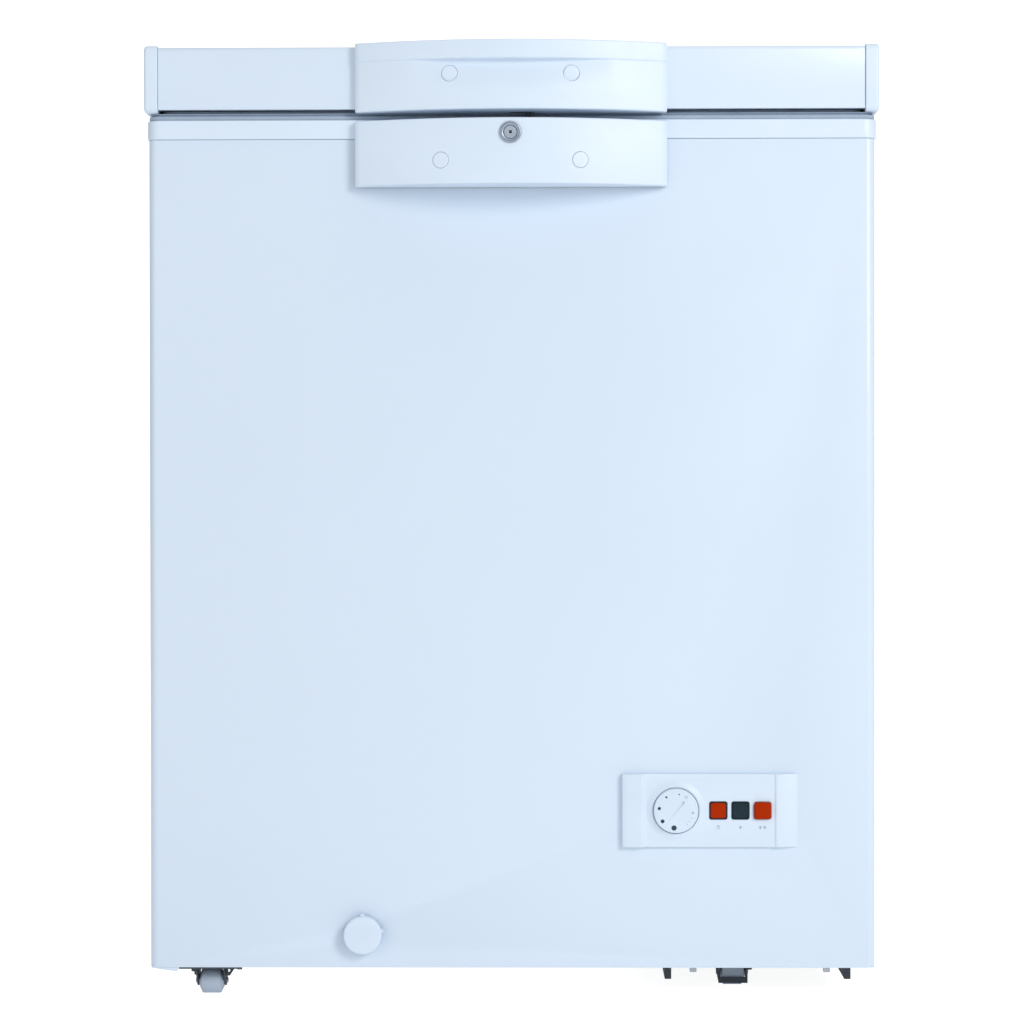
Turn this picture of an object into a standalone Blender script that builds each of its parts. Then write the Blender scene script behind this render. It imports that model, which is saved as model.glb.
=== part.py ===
"""Chest freezer of about 150 litres: foamed cabinet, balanced lid, compressor bay and casters.

Metres, +Z up. The front faces -Y and +X is to the right of someone who stands in front.
The origin is at the middle of the base of the bounding box, on the floor.
"""

import math

import bmesh
import bpy
from mathutils import Vector

# Fits
GAP = 0.0003  # between neighbours that touch
SHAFT_GAP = 0.0005  # radial, round a pin, axle or spindle
EDGE_GAP = 0.0006  # round plates that drop into a frame

# Cabinet
CABINET_WIDTH = 0.647
CABINET_DEPTH = 0.520
CABINET_HEIGHT = 0.7382  # of the steel wrap
SHEET = 0.0008  # painted steel wrap and back
BASE_SHEET = 0.001
CORNER_RADIUS = 0.008
WALL = 0.055  # of sheet, foam and liner together
FLOOR_THICKNESS = 0.065
LINER = 0.001
LINER_RADIUS = 0.022
LINER_FLANGE = 0.018
BAY_WIDTH = 0.2175  # of the compressor bay, from the right-hand wrap
BAY_HEIGHT = 0.218
STEP_FOAM = 0.050  # over the compressor bay

# Plastic frame on top of the walls
RIM_HEIGHT = 0.017
RIM_WALL = 0.0024
RIM_SKIRT = 0.018  # down inside the liner
PROUD = 0.0015  # of the frame and the lid, beyond the wrap

# Lid
LID_GAP = 0.0095  # filled by the gasket
LID_HEIGHT = 0.0556
LID_RADIUS = 0.004
LID_HEM = 0.010
CAP_WIDTH = 0.0125
CAP_PROUD = 0.0017
CAP_DROP = 0.003
CAP_WALL = 0.003
LID_PAN = 0.0015
PLUG_DROP = 0.0125
PLUG_CLEARANCE = 0.011  # between the lid's plug and the frame's inner skirt
GASKET_INSET = 0.0035
GASKET_WIDTH = 0.015
GASKET_NECK = 0.013  # inset of the part that is clipped into the lid

# Bowed handle on the lid and bowed lock housing under it
BOW_HALF = 0.1385
BOW_END = 0.008
HANDLE_BOW = 0.031
HANDLE_RISE = 0.0019  # above the lid
HANDLE_DROP = 0.0038  # below the lid
LIP_HEIGHT = 0.0165
SCOOP_DEPTH = 0.010
SCOOP_HALF = 0.088
SCOOP_HEIGHT = 0.029
HOUSING_BOW = 0.032
HOUSING_HEIGHT = 0.058
HOUSING_TOP_BELOW_RIM = 0.0021
BOW_WALL = 0.0028
BOW_EDGE = 0.0016
BOW_STATIONS = 16
HANDLE_CAP_X = 0.054
HANDLE_CAP_DROP = 0.0295  # from the handle's top to a screw cap
HOUSING_CAP_X = 0.062
HOUSING_CAP_DROP = 0.0370
SCREW_CAP_RADIUS = 0.0070
SCREW_CAP_LENGTH = 0.0050
SCREW_CAP_PROUD = 0.0005

# Lock
LOCK_MARGIN = 0.0017  # between the barrel and the housing's top wall
BARREL_RADIUS = 0.0086
BEZEL_LIP = 0.0016  # of the bezel, beyond the barrel
BEZEL_PROUD = 0.0022
CYLINDER_RADIUS = 0.0058
CYLINDER_PROUD = 0.0008
KEYWAY_WIDTH = 0.0018
KEYWAY_HEIGHT = 0.0060
KEYWAY_DEPTH = 0.0080
CAM_THICK = 0.0022
CAM_WIDTH = 0.0064
CAM_REACH = 0.0115
KEEPER_LEG = 0.0055
KEEPER_CLEARANCE = 0.0018  # between the open cam and the foot that rises past it
KEEPER_THICK = 0.0022
KEEPER_HOOK = 0.0030
KEEPER_TOP = 0.016  # above the lid's lower edge

# Control panel
PANEL_FROM_SIDE = 0.1473  # to the panel's centre
PANEL_LIFT = 0.1406  # of its centre, above the wrap's lower edge
PANEL_WIDTH = 0.1566
PANEL_HEIGHT = 0.0650
PANEL_DEPTH = 0.0062
PANEL_FIELD_DEPTH = 0.0034
PANEL_LEFT_WING = 0.0190
PANEL_RIGHT_WING = 0.0200
PANEL_EDGE = 0.0012
DIAL_OFFSET = -0.0303  # from the panel's centre
DIAL_RADIUS = 0.0202
DIAL_HEIGHT = 0.0062
DIAL_SPINDLE = 0.0030
DIAL_DISH_MARGIN = 0.0038  # of the dish, round the dial
DIAL_DISH_DEPTH = 0.0009
LAMP_SIZE = 0.0156
LAMP_PITCH = 0.01965
LAMP_OFFSET = 0.0074  # of the first lamp, from the panel's centre
LAMP_PROUD = 0.0008
BUTTON_PROUD = 0.0038
BUTTON_TRAVEL = 0.0025
STEM_SIZE = 0.0080
WINDOW_MARGIN = 0.0060  # of the wrap round what passes through it
THERMOSTAT_WIDTH = 0.0340
THERMOSTAT_HEIGHT = 0.0400
THERMOSTAT_DEPTH = 0.0220
SWITCH_WIDTH = 0.0150
SWITCH_DEPTH = 0.0180

# Drain
DRAIN_FROM_SIDE = 0.1904
DRAIN_LIFT = 0.0298  # above the wrap's lower edge
DRAIN_CAP_RADIUS = 0.0171
DRAIN_CAP_THICK = 0.0090
DRAIN_TUBE_RADIUS = 0.0070
DRAIN_TUBE_WALL = 0.0018
DRAIN_LENGTH = 0.095
DRAIN_SOCKET_WALL = 0.0016
DRAIN_FLANGE_RADIUS = 0.0145
DRAIN_FLANGE_THICK = 0.0016
DRAIN_PLUG_RADIUS = 0.0170
DRAIN_PLUG_STEM = 0.0105
DRAIN_PLUG_LENGTH = 0.0140

# Casters: a fork, an axle along X and a roller
WHEEL_RADIUS = 0.0115
WHEEL_WIDTH = 0.0220
WHEEL_CHAMFER = 0.0018
AXLE_RADIUS = 0.0025
FORK_SHEET = 0.0016
FORK_PLATE_WIDTH = 0.058
FORK_LENGTH = 0.036
FORK_TIP = 0.0048  # below the axle
FORK_CLEARANCE = 0.00038  # between a roller and its fork's plate
FORK_SINK = 0.7  # share of the fork's sheet under its mounting face
LEFT_CASTER_INSET = 0.0525  # from the left side of the wrap
RIGHT_CASTER_OFFSET = -0.0212  # from the middle of the tray
LEFT_SETBACK = 0.030  # of an axle from the front and the back of the wrap
RIGHT_SETBACK = 0.085
APRON_HEIGHT = 0.0055
APRON_CLEARANCE = 0.0040  # from the floor
APRON_THICK = 0.0018

# Compressor bay
TRAY_WIDTH = 0.168
TRAY_FROM_SIDE = 0.0183
TRAY_SHEET = 0.0016
TRAY_SETBACK = 0.045
TRAY_FLANGE = 0.0060
TRAY_FLANGE_DROP = 0.0160
COMPRESSOR_RADIUS = 0.062
COMPRESSOR_HEIGHT = 0.150
COMPRESSOR_FOOT = 0.010  # height of the rubber feet
COMPRESSOR_SETBACK = 0.125  # of its axis from the back
COMPRESSOR_PLATE = (0.150, 0.096, 0.003)
DRIER_RADIUS = 0.0095
DRIER_LENGTH = 0.100
GRILLE_SHEET = 0.0015
GRILLE_SLOTS = 7
GRILLE_SLOT_HEIGHT = 0.007
GLAND_RADIUS = 0.0080
GLAND_FLANGE = 0.0115
GLAND_BORE = 0.0036

# Coils
COIL_RADIUS = 0.0033
COIL_TURNS = 6
COIL_CLEARANCE = 0.0014  # from the sheet that the coil lies on
COIL_OVER_STEP = 0.035  # first turn, above the step of the liner
COIL_BELOW_TOP = 0.1249  # last turn, below the liner's top
POCKET_SPARE = 0.0001  # of a pocket's depth, beyond the coil
POCKET_CORNER = 0.020
POCKET_MARGIN = 0.014
RISER_DROP = 0.010  # ends of both coils, below the roof of the bay

# Hinges
HINGE_FROM_SIDE = 0.1185
HINGE_PIN_RADIUS = 0.003
HINGE_BARREL_RADIUS = 0.006
HINGE_WIDTH = 0.036
HINGE_SHEET = 0.002
HINGE_AXIS_BELOW_LID = 0.0018
HINGE_ARM_HEIGHT = 0.040
HINGE_BASE_HEIGHT = 0.062
HINGE_EAR_RADIUS = 0.0052
PIN_HEAD = 0.0018

# Worked out from the sizes above
HINGE_REACH = PROUD + GAP + HINGE_BARREL_RADIUS + HINGE_EAR_RADIUS + 0.003
FRONT_REACH = PROUD + BOW_END + HOUSING_BOW + BEZEL_PROUD
CENTRE_Y = (FRONT_REACH - HINGE_REACH) / 2
FRONT = CENTRE_Y - CABINET_DEPTH / 2
BACK = CENTRE_Y + CABINET_DEPTH / 2
SIDE = CABINET_WIDTH / 2
TRAY_STACK = EDGE_GAP + TRAY_SHEET + GAP
FLOOR_CLEARANCE = 2 * WHEEL_RADIUS + FORK_CLEARANCE + FORK_SINK * FORK_SHEET + TRAY_STACK
WRAP_TOP = FLOOR_CLEARANCE + CABINET_HEIGHT
RIM_BOTTOM = WRAP_TOP + GAP
RIM_TOP = RIM_BOTTOM + RIM_HEIGHT
RIM_HALF = (SIDE + PROUD, CABINET_DEPTH / 2 + PROUD)
LID_BOTTOM = RIM_TOP + LID_GAP
LID_TOP = LID_BOTTOM + LID_HEIGHT
LID_FRONT = FRONT - PROUD
LID_BACK = BACK + PROUD
CAP_OUTER = SIDE + PROUD + 0.00225
LID_HALF = CAP_OUTER - CAP_WIDTH
LINER_HALF = (SIDE - WALL, CABINET_DEPTH / 2 - WALL)
LINER_FLOOR = FLOOR_CLEARANCE + FLOOR_THICKNESS
BAY_X = SIDE - BAY_WIDTH
BAY_TOP = FLOOR_CLEARANCE + BAY_HEIGHT
STEP_FLOOR = BAY_TOP + STEP_FOAM
STEP_X = BAY_X - WALL
LINER_TOP = WRAP_TOP - GAP
FOAM_TOP = LINER_TOP - LINER - GAP
HANDLE_TOP = LID_TOP + HANDLE_RISE
HANDLE_BOTTOM = LID_BOTTOM - HANDLE_DROP
HOUSING_TOP = RIM_TOP - HOUSING_TOP_BELOW_RIM
HOUSING_BOTTOM = HOUSING_TOP - HOUSING_HEIGHT
BEZEL_RADIUS = BARREL_RADIUS + BEZEL_LIP
LOCK_Z = HOUSING_TOP - BOW_WALL - LOCK_MARGIN - BARREL_RADIUS
LOCK_FACE = LID_FRONT - BOW_END - HOUSING_BOW
TRAY_TOP = FLOOR_CLEARANCE - EDGE_GAP
TRAY_X = SIDE - TRAY_FROM_SIDE - TRAY_WIDTH / 2
LEFT_CASTER_X = -SIDE + LEFT_CASTER_INSET
RIGHT_CASTER_X = TRAY_X + RIGHT_CASTER_OFFSET
COMPRESSOR_Y = BACK - COMPRESSOR_SETBACK
HINGE_X = SIDE - HINGE_FROM_SIDE
HINGE_Y = LID_BACK + GAP + HINGE_BARREL_RADIUS
HINGE_Z = LID_BOTTOM - HINGE_AXIS_BELOW_LID
COIL_STAND = COIL_CLEARANCE + COIL_RADIUS
COIL_LOW = STEP_FLOOR + COIL_OVER_STEP
COIL_PITCH = (LINER_TOP - COIL_BELOW_TOP - COIL_LOW) / (COIL_TURNS - 1)
POCKET_DEPTH = 2 * COIL_STAND + POCKET_SPARE
RISER_END = BAY_TOP - RISER_DROP
CONDENSER_HALF = (SIDE - SHEET - COIL_STAND, CABINET_DEPTH / 2 - SHEET - COIL_STAND)
EVAPORATOR_HALF = (LINER_HALF[0] + LINER + COIL_STAND, LINER_HALF[1] + LINER + COIL_STAND)
CONDENSER_BEND = POCKET_CORNER + POCKET_DEPTH - COIL_STAND
EVAPORATOR_BEND = LINER_RADIUS + LINER + COIL_STAND
CONDENSER_RISER_Y = BACK - 0.045
EVAPORATOR_RISER_Y = BACK - 0.095
DRAIN_X = -SIDE + DRAIN_FROM_SIDE
DRAIN_Z = FLOOR_CLEARANCE + DRAIN_LIFT
DRAIN_SUMP_Y = FRONT + DRAIN_LENGTH - 0.010
FIELD_Y = FRONT - GAP - PANEL_FIELD_DEPTH
PANEL_X = SIDE - PANEL_FROM_SIDE
PANEL_Z = FLOOR_CLEARANCE + PANEL_LIFT
DIAL_X = PANEL_X + DIAL_OFFSET
DIAL_DISH_RADIUS = DIAL_RADIUS + DIAL_DISH_MARGIN
LAMP_FIRST_X = PANEL_X + LAMP_OFFSET
PANEL_LEFT = PANEL_X - PANEL_WIDTH / 2
PANEL_RIGHT = PANEL_X + PANEL_WIDTH / 2

# Looks: colour, roughness, metallic
STYLES = {
    "white_paint": ((0.80, 0.86, 0.92), 0.35, 0.0),
    "white_plastic": ((0.80, 0.86, 0.93), 0.45, 0.0),
    "galvanised": ((0.55, 0.58, 0.61), 0.45, 0.9),
    "dark_steel": ((0.06, 0.07, 0.08), 0.55, 0.6),
    "aluminium": ((0.78, 0.80, 0.82), 0.35, 1.0),
    "foam": ((0.86, 0.80, 0.62), 0.95, 0.0),
    "copper": ((0.72, 0.38, 0.24), 0.30, 1.0),
    "black_enamel": ((0.02, 0.02, 0.022), 0.35, 0.0),
    "chrome": ((0.62, 0.65, 0.69), 0.20, 1.0),
    "gasket_rubber": ((0.24, 0.29, 0.36), 0.70, 0.0),
    "grey_plastic": ((0.35, 0.40, 0.46), 0.55, 0.0),
    "dark_plastic": ((0.04, 0.05, 0.06), 0.50, 0.0),
    "orange_lens": ((0.55, 0.08, 0.01), 0.25, 0.0),
    "dark_lens": ((0.03, 0.05, 0.06), 0.20, 0.0),
    "black_rubber": ((0.02, 0.02, 0.02), 0.80, 0.0),
}


def clear_scene():
    for item in list(bpy.data.objects):
        bpy.data.objects.remove(item, do_unlink=True)


def paint(item, style):
    """Give the object a material of its own."""
    colour, roughness, metallic = STYLES[style]
    material = bpy.data.materials.new(item.name)
    material.use_nodes = True
    shader = material.node_tree.nodes["Principled BSDF"]
    shader.inputs["Base Color"].default_value = (*colour, 1.0)
    shader.inputs["Roughness"].default_value = roughness
    shader.inputs["Metallic"].default_value = metallic
    item.data.materials.append(material)


def new_object(name, mesh_data, origin=(0.0, 0.0, 0.0), parent=None):
    """Link a bmesh, given in world coordinates, as an object with the given origin."""
    origin = Vector(origin)
    bmesh.ops.recalc_face_normals(mesh_data, faces=mesh_data.faces)
    bmesh.ops.translate(mesh_data, verts=mesh_data.verts, vec=-origin)
    mesh = bpy.data.meshes.new(name)
    mesh_data.to_mesh(mesh)
    mesh_data.free()
    item = bpy.data.objects.new(name, mesh)
    bpy.context.scene.collection.objects.link(item)
    item.location = origin
    if parent is not None:
        item.parent = parent
        item.location = origin - parent.location
    return item


def part(name, mesh_data, style, origin=(0.0, 0.0, 0.0), parent=None, smooth=False):
    item = new_object(name, mesh_data, origin, parent)
    paint(item, style)
    if smooth:
        item.data.shade_smooth()
        item.data.set_sharp_from_angle(angle=math.radians(35))
    return item


def combine(item, name, mesh_data, operation="DIFFERENCE"):
    """Cut, join or intersect an object with a hidden shape."""
    tool = new_object(f"{name}_shape", mesh_data)
    tool.display_type = "WIRE"
    tool.hide_render = True
    modifier = item.modifiers.new(name, "BOOLEAN")
    modifier.object = tool
    modifier.operation = operation
    modifier.solver = "EXACT"


def pivot(name, location):
    empty = bpy.data.objects.new(name, None)
    empty.location = location
    bpy.context.scene.collection.objects.link(empty)
    return empty


def place(u, v, w, axis):
    """A point from its two coordinates in a section and its place along the axis."""
    return {"X": (w, u, v), "Y": (u, w, v), "Z": (u, v, w)}[axis]


def arc(centre, radius, start, stop, steps):
    """Points on an arc; angles in degrees."""
    angles = [math.radians(start + (stop - start) * i / steps) for i in range(steps + 1)]
    return [(centre[0] + radius * math.cos(a), centre[1] + radius * math.sin(a)) for a in angles]


def rounded_rect(half_u, half_v, radius, steps=3, centre=(0.0, 0.0)):
    points = []
    corners = ((1, 1, 0), (-1, 1, 90), (-1, -1, 180), (1, -1, 270))
    for sign_u, sign_v, start in corners:
        middle = (centre[0] + sign_u * (half_u - radius), centre[1] + sign_v * (half_v - radius))
        points += arc(middle, radius, start, start + 90, steps)
    return points


def rect(u, v):
    return [(u[0], v[0]), (u[1], v[0]), (u[1], v[1]), (u[0], v[1])]


def loft(loops, closed=False):
    """Skin loops of equal length; the two ends are capped, or joined when closed."""
    mesh_data = bmesh.new()
    rings = [[mesh_data.verts.new(point) for point in loop] for loop in loops]
    pairs = list(zip(rings, rings[1:]))
    if closed:
        pairs.append((rings[-1], rings[0]))
    count = len(rings[0])
    for first, second in pairs:
        for i in range(count):
            j = (i + 1) % count
            mesh_data.faces.new((first[i], first[j], second[j], second[i]))
    if not closed:
        mesh_data.faces.new(rings[0][::-1])
        mesh_data.faces.new(rings[-1])
    return mesh_data


def prism(outline, axis, start, stop):
    return loft([[place(u, v, w, axis) for u, v in outline] for w in (start, stop)])


def box(x, y, z):
    return prism(rect(x, y), "Z", *z)


def plate_loops(sections):
    """Loops of rounded rectangles round the cabinet's vertical middle: (half_x, half_y, radius, z)."""
    loops = []
    for half_x, half_y, radius, z in sections:
        outline = rounded_rect(half_x, half_y, radius, centre=(0.0, CENTRE_Y))
        loops.append([(x, y, z) for x, y in outline])
    return loops


def lathe(profile, centre, direction, segments=20, bored=False):
    """Turn (radius, height) pairs round the direction; a bored profile is a closed loop."""
    turn = Vector((0, 0, 1)).rotation_difference(Vector(direction))
    angles = [2 * math.pi * i / segments for i in range(segments)]

    def spot(radius, height, angle):
        local = Vector((radius * math.cos(angle), radius * math.sin(angle), height))
        return Vector(centre) + turn @ local

    if bored:
        return loft([[spot(r, h, a) for r, h in profile] for a in angles], closed=True)
    return loft([[spot(r, h, a) for a in angles] for r, h in profile])


def rod(centre, direction, radius, start, stop, segments=16):
    return lathe([(radius, start), (radius, stop)], centre, direction, segments)


def bent_path(corners, bend, steps=2):
    """Round the inner corners of a path."""
    corners = [Vector(corner) for corner in corners]
    path = [corners[0]]
    for before, corner, after in zip(corners, corners[1:], corners[2:]):
        into = (before - corner).normalized()
        out = (after - corner).normalized()
        angle = into.angle(out)
        reach = min(bend / math.tan(angle / 2), 0.45 * (before - corner).length, 0.45 * (after - corner).length)
        radius = reach * math.tan(angle / 2)
        middle = corner + (into + out).normalized() * (radius / math.sin(angle / 2))
        start = corner + into * reach - middle
        stop = corner + out * reach - middle
        sweep = start.angle(stop)
        for i in range(steps + 1):
            before_share = math.sin(sweep * (1 - i / steps)) / math.sin(sweep)
            after_share = math.sin(sweep * i / steps) / math.sin(sweep)
            path.append(middle + before_share * start + after_share * stop)
    return path + [corners[-1]]


def tube(path, radius, sides=6):
    """A round bar along a path, its frame carried from point to point."""
    loops = []
    tangent = (path[1] - path[0]).normalized()
    side = tangent.orthogonal().normalized()
    for i, point in enumerate(path):
        before = path[max(i - 1, 0)]
        after = path[min(i + 1, len(path) - 1)]
        heading = (after - before).normalized()
        side = tangent.rotation_difference(heading) @ side
        tangent = heading
        up = tangent.cross(side)
        angles = [2 * math.pi * k / sides for k in range(sides)]
        loops.append([point + radius * (math.cos(a) * side + math.sin(a) * up) for a in angles])
    return loft(loops)


# Cabinet


def wrap_path(inset):
    """Plan of the wrap: left side, front and right side, at a distance inside its outer face."""
    side = SIDE - inset
    front = FRONT + inset
    radius = CORNER_RADIUS - inset
    left = arc((-side + radius, front + radius), radius, 180, 270, 3)
    right = arc((side - radius, front + radius), radius, 270, 360, 3)
    return [(-side, BACK), *left, *right, (side, BACK)]


def lamp_x(index):
    return LAMP_FIRST_X + index * LAMP_PITCH


def panel_window():
    """Opening in the wrap behind the control panel."""
    low_x = DIAL_X - THERMOSTAT_WIDTH / 2 + WINDOW_MARGIN
    high_x = lamp_x(2) + LAMP_SIZE / 2
    high_z = STEM_SIZE / 2 + WINDOW_MARGIN
    return (low_x, high_x), (PANEL_Z - high_z, PANEL_Z + high_z)


def outer_wrapper():
    outline = wrap_path(0.0) + wrap_path(SHEET)[::-1]
    item = part("outer_wrapper", prism(outline, "Z", FLOOR_CLEARANCE, WRAP_TOP), "white_paint")
    window_x, window_z = panel_window()
    combine(item, "panel_window", box(window_x, (FRONT - 0.01, FRONT + 0.01), window_z))
    hole = rod((DRAIN_X, FRONT, DRAIN_Z), (0, 1, 0), drain_bore() + GAP, -0.01, 0.01)
    combine(item, "drain_hole", hole)


def back_panel():
    left = -SIDE + SHEET + GAP
    right = SIDE - SHEET - GAP
    outline = [
        (left, FLOOR_CLEARANCE),
        (BAY_X, FLOOR_CLEARANCE),
        (BAY_X, BAY_TOP),
        (right, BAY_TOP),
        (right, WRAP_TOP),
        (left, WRAP_TOP),
    ]
    part("back_panel", prism(outline, "Y", BACK - SHEET, BACK), "galvanised")


def bottom_panel():
    """Stepped sheet: floor of the foam on the left, wall and roof of the bay on the right."""
    left = -SIDE + SHEET + GAP
    right = SIDE - SHEET - GAP
    low = FLOOR_CLEARANCE
    outline = [
        (left, low),
        (BAY_X, low),
        (BAY_X, BAY_TOP - BASE_SHEET),
        (right, BAY_TOP - BASE_SHEET),
        (right, BAY_TOP),
        (BAY_X - BASE_SHEET, BAY_TOP),
        (BAY_X - BASE_SHEET, low + BASE_SHEET),
        (left, low + BASE_SHEET),
    ]
    ends = (FRONT + CORNER_RADIUS, BACK - SHEET - GAP)
    item = part("bottom_panel", prism(outline, "Y", *ends), "galvanised")
    for name, x, y in riser_places():
        hole = rod((x, y, BAY_TOP), (0, 0, 1), COIL_RADIUS + EDGE_GAP, -0.01, 0.01, 10)
        combine(item, f"{name}_hole", hole)


def riser_places():
    yield "condenser_riser", CONDENSER_HALF[0], CONDENSER_RISER_Y
    yield "evaporator_riser", EVAPORATOR_HALF[0], EVAPORATOR_RISER_Y


def liner_block(offset, top):
    """The stepped hollow of the liner, grown by an offset: a lower box and an upper box."""
    half_x, half_y = LINER_HALF
    radius = LINER_RADIUS + offset
    low_right = STEP_X + offset
    low_left = -half_x - offset
    middle = (low_right + low_left) / 2
    lower = rounded_rect((low_right - low_left) / 2, half_y + offset, radius, centre=(middle, CENTRE_Y))
    upper = rounded_rect(half_x + offset, half_y + offset, radius, centre=(0.0, CENTRE_Y))
    yield prism(lower, "Z", LINER_FLOOR - offset, STEP_FLOOR + 0.02)
    yield prism(upper, "Z", STEP_FLOOR - offset, top)


def foam_insulation():
    inset = SHEET + GAP
    outline = rounded_rect(
        SIDE - inset, CABINET_DEPTH / 2 - inset, CORNER_RADIUS - inset, centre=(0.0, CENTRE_Y)
    )
    low = FLOOR_CLEARANCE + BASE_SHEET + GAP
    item = part("foam_insulation", prism(outline, "Z", low, FOAM_TOP), "foam")
    for name, shape in zip(("lower_hollow", "upper_hollow"), liner_block(LINER + GAP, 1.0)):
        combine(item, name, shape)
    bay = box((BAY_X - BASE_SHEET - GAP, 1.0), (FRONT - 0.1, BACK + 0.1), (0.0, BAY_TOP + GAP))
    combine(item, "bay", bay)
    coil_top = COIL_LOW + COIL_PITCH * (COIL_TURNS - 1)
    band = (COIL_LOW - POCKET_MARGIN, coil_top + POCKET_MARGIN)
    half_x, half_y = LINER_HALF
    grow = LINER + POCKET_DEPTH
    inner = rounded_rect(half_x + grow, half_y + grow, LINER_RADIUS + grow, centre=(0.0, CENTRE_Y))
    combine(item, "evaporator_pocket", prism(inner, "Z", *band))
    depth = SHEET + POCKET_DEPTH
    sections = [
        (SIDE + 0.01, CABINET_DEPTH / 2 + 0.01, POCKET_CORNER, band[0]),
        (SIDE + 0.01, CABINET_DEPTH / 2 + 0.01, POCKET_CORNER, band[1]),
        (SIDE - depth, CABINET_DEPTH / 2 - depth, POCKET_CORNER, band[1]),
        (SIDE - depth, CABINET_DEPTH / 2 - depth, POCKET_CORNER, band[0]),
    ]
    combine(item, "condenser_pocket", loft(plate_loops(sections), closed=True))
    for name, x, y in riser_places():
        reach = COIL_STAND + 0.0015
        duct_y = (y - EVAPORATOR_BEND - reach, y + reach)
        duct = box((x - reach, x + reach), duct_y, (BAY_TOP - 0.01, COIL_LOW))
        combine(item, f"{name}_duct", duct)
    bore = drain_bore() + GAP
    tunnel = rod((DRAIN_X, FRONT, DRAIN_Z), (0, 1, 0), bore, -0.01, DRAIN_LENGTH + 0.008)
    combine(item, "drain_tunnel", tunnel)
    sump = rod((DRAIN_X, DRAIN_SUMP_Y, LINER_FLOOR), (0, 0, 1), DRAIN_PLUG_STEM + 0.002, -0.03, 0.01)
    combine(item, "drain_sump", sump)


def inner_liner():
    shapes = list(liner_block(LINER, LINER_TOP))
    hollows = list(liner_block(0.0, 1.0))
    item = part("inner_liner", shapes[1], "aluminium")
    combine(item, "liner_lower", shapes[0], "UNION")
    half_x, half_y = LINER_HALF
    flange = rounded_rect(
        half_x + LINER_FLANGE, half_y + LINER_FLANGE, LINER_RADIUS + 0.006, centre=(0.0, CENTRE_Y)
    )
    combine(item, "liner_flange", prism(flange, "Z", LINER_TOP - LINER, LINER_TOP), "UNION")
    combine(item, "liner_hollow_low", hollows[0])
    combine(item, "liner_hollow_high", hollows[1])
    hole = rod((DRAIN_X, DRAIN_SUMP_Y, LINER_FLOOR), (0, 0, 1), DRAIN_PLUG_STEM + SHAFT_GAP, -0.01, 0.01)
    combine(item, "liner_drain", hole)


def top_frame():
    """Plastic frame: an upside-down channel that caps the wrap's edge and the liner's flange."""
    outer = RIM_HALF
    inner = (LINER_HALF[0] - GAP, LINER_HALF[1] - GAP)
    throat = (inner[0] - RIM_WALL, inner[1] - RIM_WALL)
    soft = 0.0012
    skirt = RIM_BOTTOM - RIM_SKIRT
    sections = [
        (*outer, 0.012, RIM_BOTTOM),
        (*outer, 0.012, RIM_TOP - soft),
        (outer[0] - soft, outer[1] - soft, 0.011, RIM_TOP),
        (throat[0] + soft, throat[1] + soft, LINER_RADIUS, RIM_TOP),
        (*throat, LINER_RADIUS - RIM_WALL, RIM_TOP - soft),
        (*throat, LINER_RADIUS - RIM_WALL, skirt),
        (*inner, LINER_RADIUS, skirt),
        (*inner, LINER_RADIUS, RIM_TOP - RIM_WALL),
        (outer[0] - RIM_WALL, outer[1] - RIM_WALL, 0.010, RIM_TOP - RIM_WALL),
        (outer[0] - RIM_WALL, outer[1] - RIM_WALL, 0.010, RIM_BOTTOM),
    ]
    part("top_frame", loft(plate_loops(sections), closed=True), "white_plastic")


def coil_path(half, riser_y, bend):
    """Up the riser, then round the four walls, climbing along the back."""
    half_x, half_y = half
    front = CENTRE_Y - half_y
    back = CENTRE_Y + half_y
    corners = [(half_x, riser_y, RISER_END), (half_x, riser_y, COIL_LOW)]
    for turn in range(COIL_TURNS):
        z = COIL_LOW + turn * COIL_PITCH
        corners += [(half_x, front, z), (-half_x, front, z), (-half_x, back, z)]
        if turn < COIL_TURNS - 1:
            corners.append((half_x, back, z + COIL_PITCH))
    corners.append((0.0, back, corners[-1][2]))
    return bent_path(corners, bend, 3)


def coils():
    condenser = coil_path(CONDENSER_HALF, CONDENSER_RISER_Y, CONDENSER_BEND)
    part("condenser_coil", tube(condenser, COIL_RADIUS), "copper", smooth=True)
    evaporator = coil_path(EVAPORATOR_HALF, EVAPORATOR_RISER_Y, EVAPORATOR_BEND)
    part("evaporator_coil", tube(evaporator, COIL_RADIUS), "aluminium", smooth=True)


# Compressor bay


def compressor():
    """Welded pot on its base plate."""
    base = TRAY_TOP + COMPRESSOR_FOOT
    r = COMPRESSOR_RADIUS
    h = COMPRESSOR_HEIGHT
    profile = [
        (r * 0.62, 0.001),
        (r * 0.86, 0.012),
        (r * 0.95, 0.030),
        (r * 0.97, h * 0.42),
        (r, h * 0.43),
        (r, h * 0.47),
        (r * 0.97, h * 0.48),
        (r * 0.94, h * 0.72),
        (r * 0.80, h * 0.88),
        (r * 0.50, h * 0.97),
        (r * 0.15, h),
    ]
    centre = (TRAY_X, COMPRESSOR_Y, base)
    item = part("compressor", lathe(profile, centre, (0, 0, 1), 24), "black_enamel", smooth=True)
    width, depth, thick = COMPRESSOR_PLATE
    x = (TRAY_X - width / 2, TRAY_X + width / 2)
    y = (COMPRESSOR_Y - depth / 2, COMPRESSOR_Y + depth / 2)
    combine(item, "base_plate", box(x, y, (base, base + thick)), "UNION")


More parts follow.
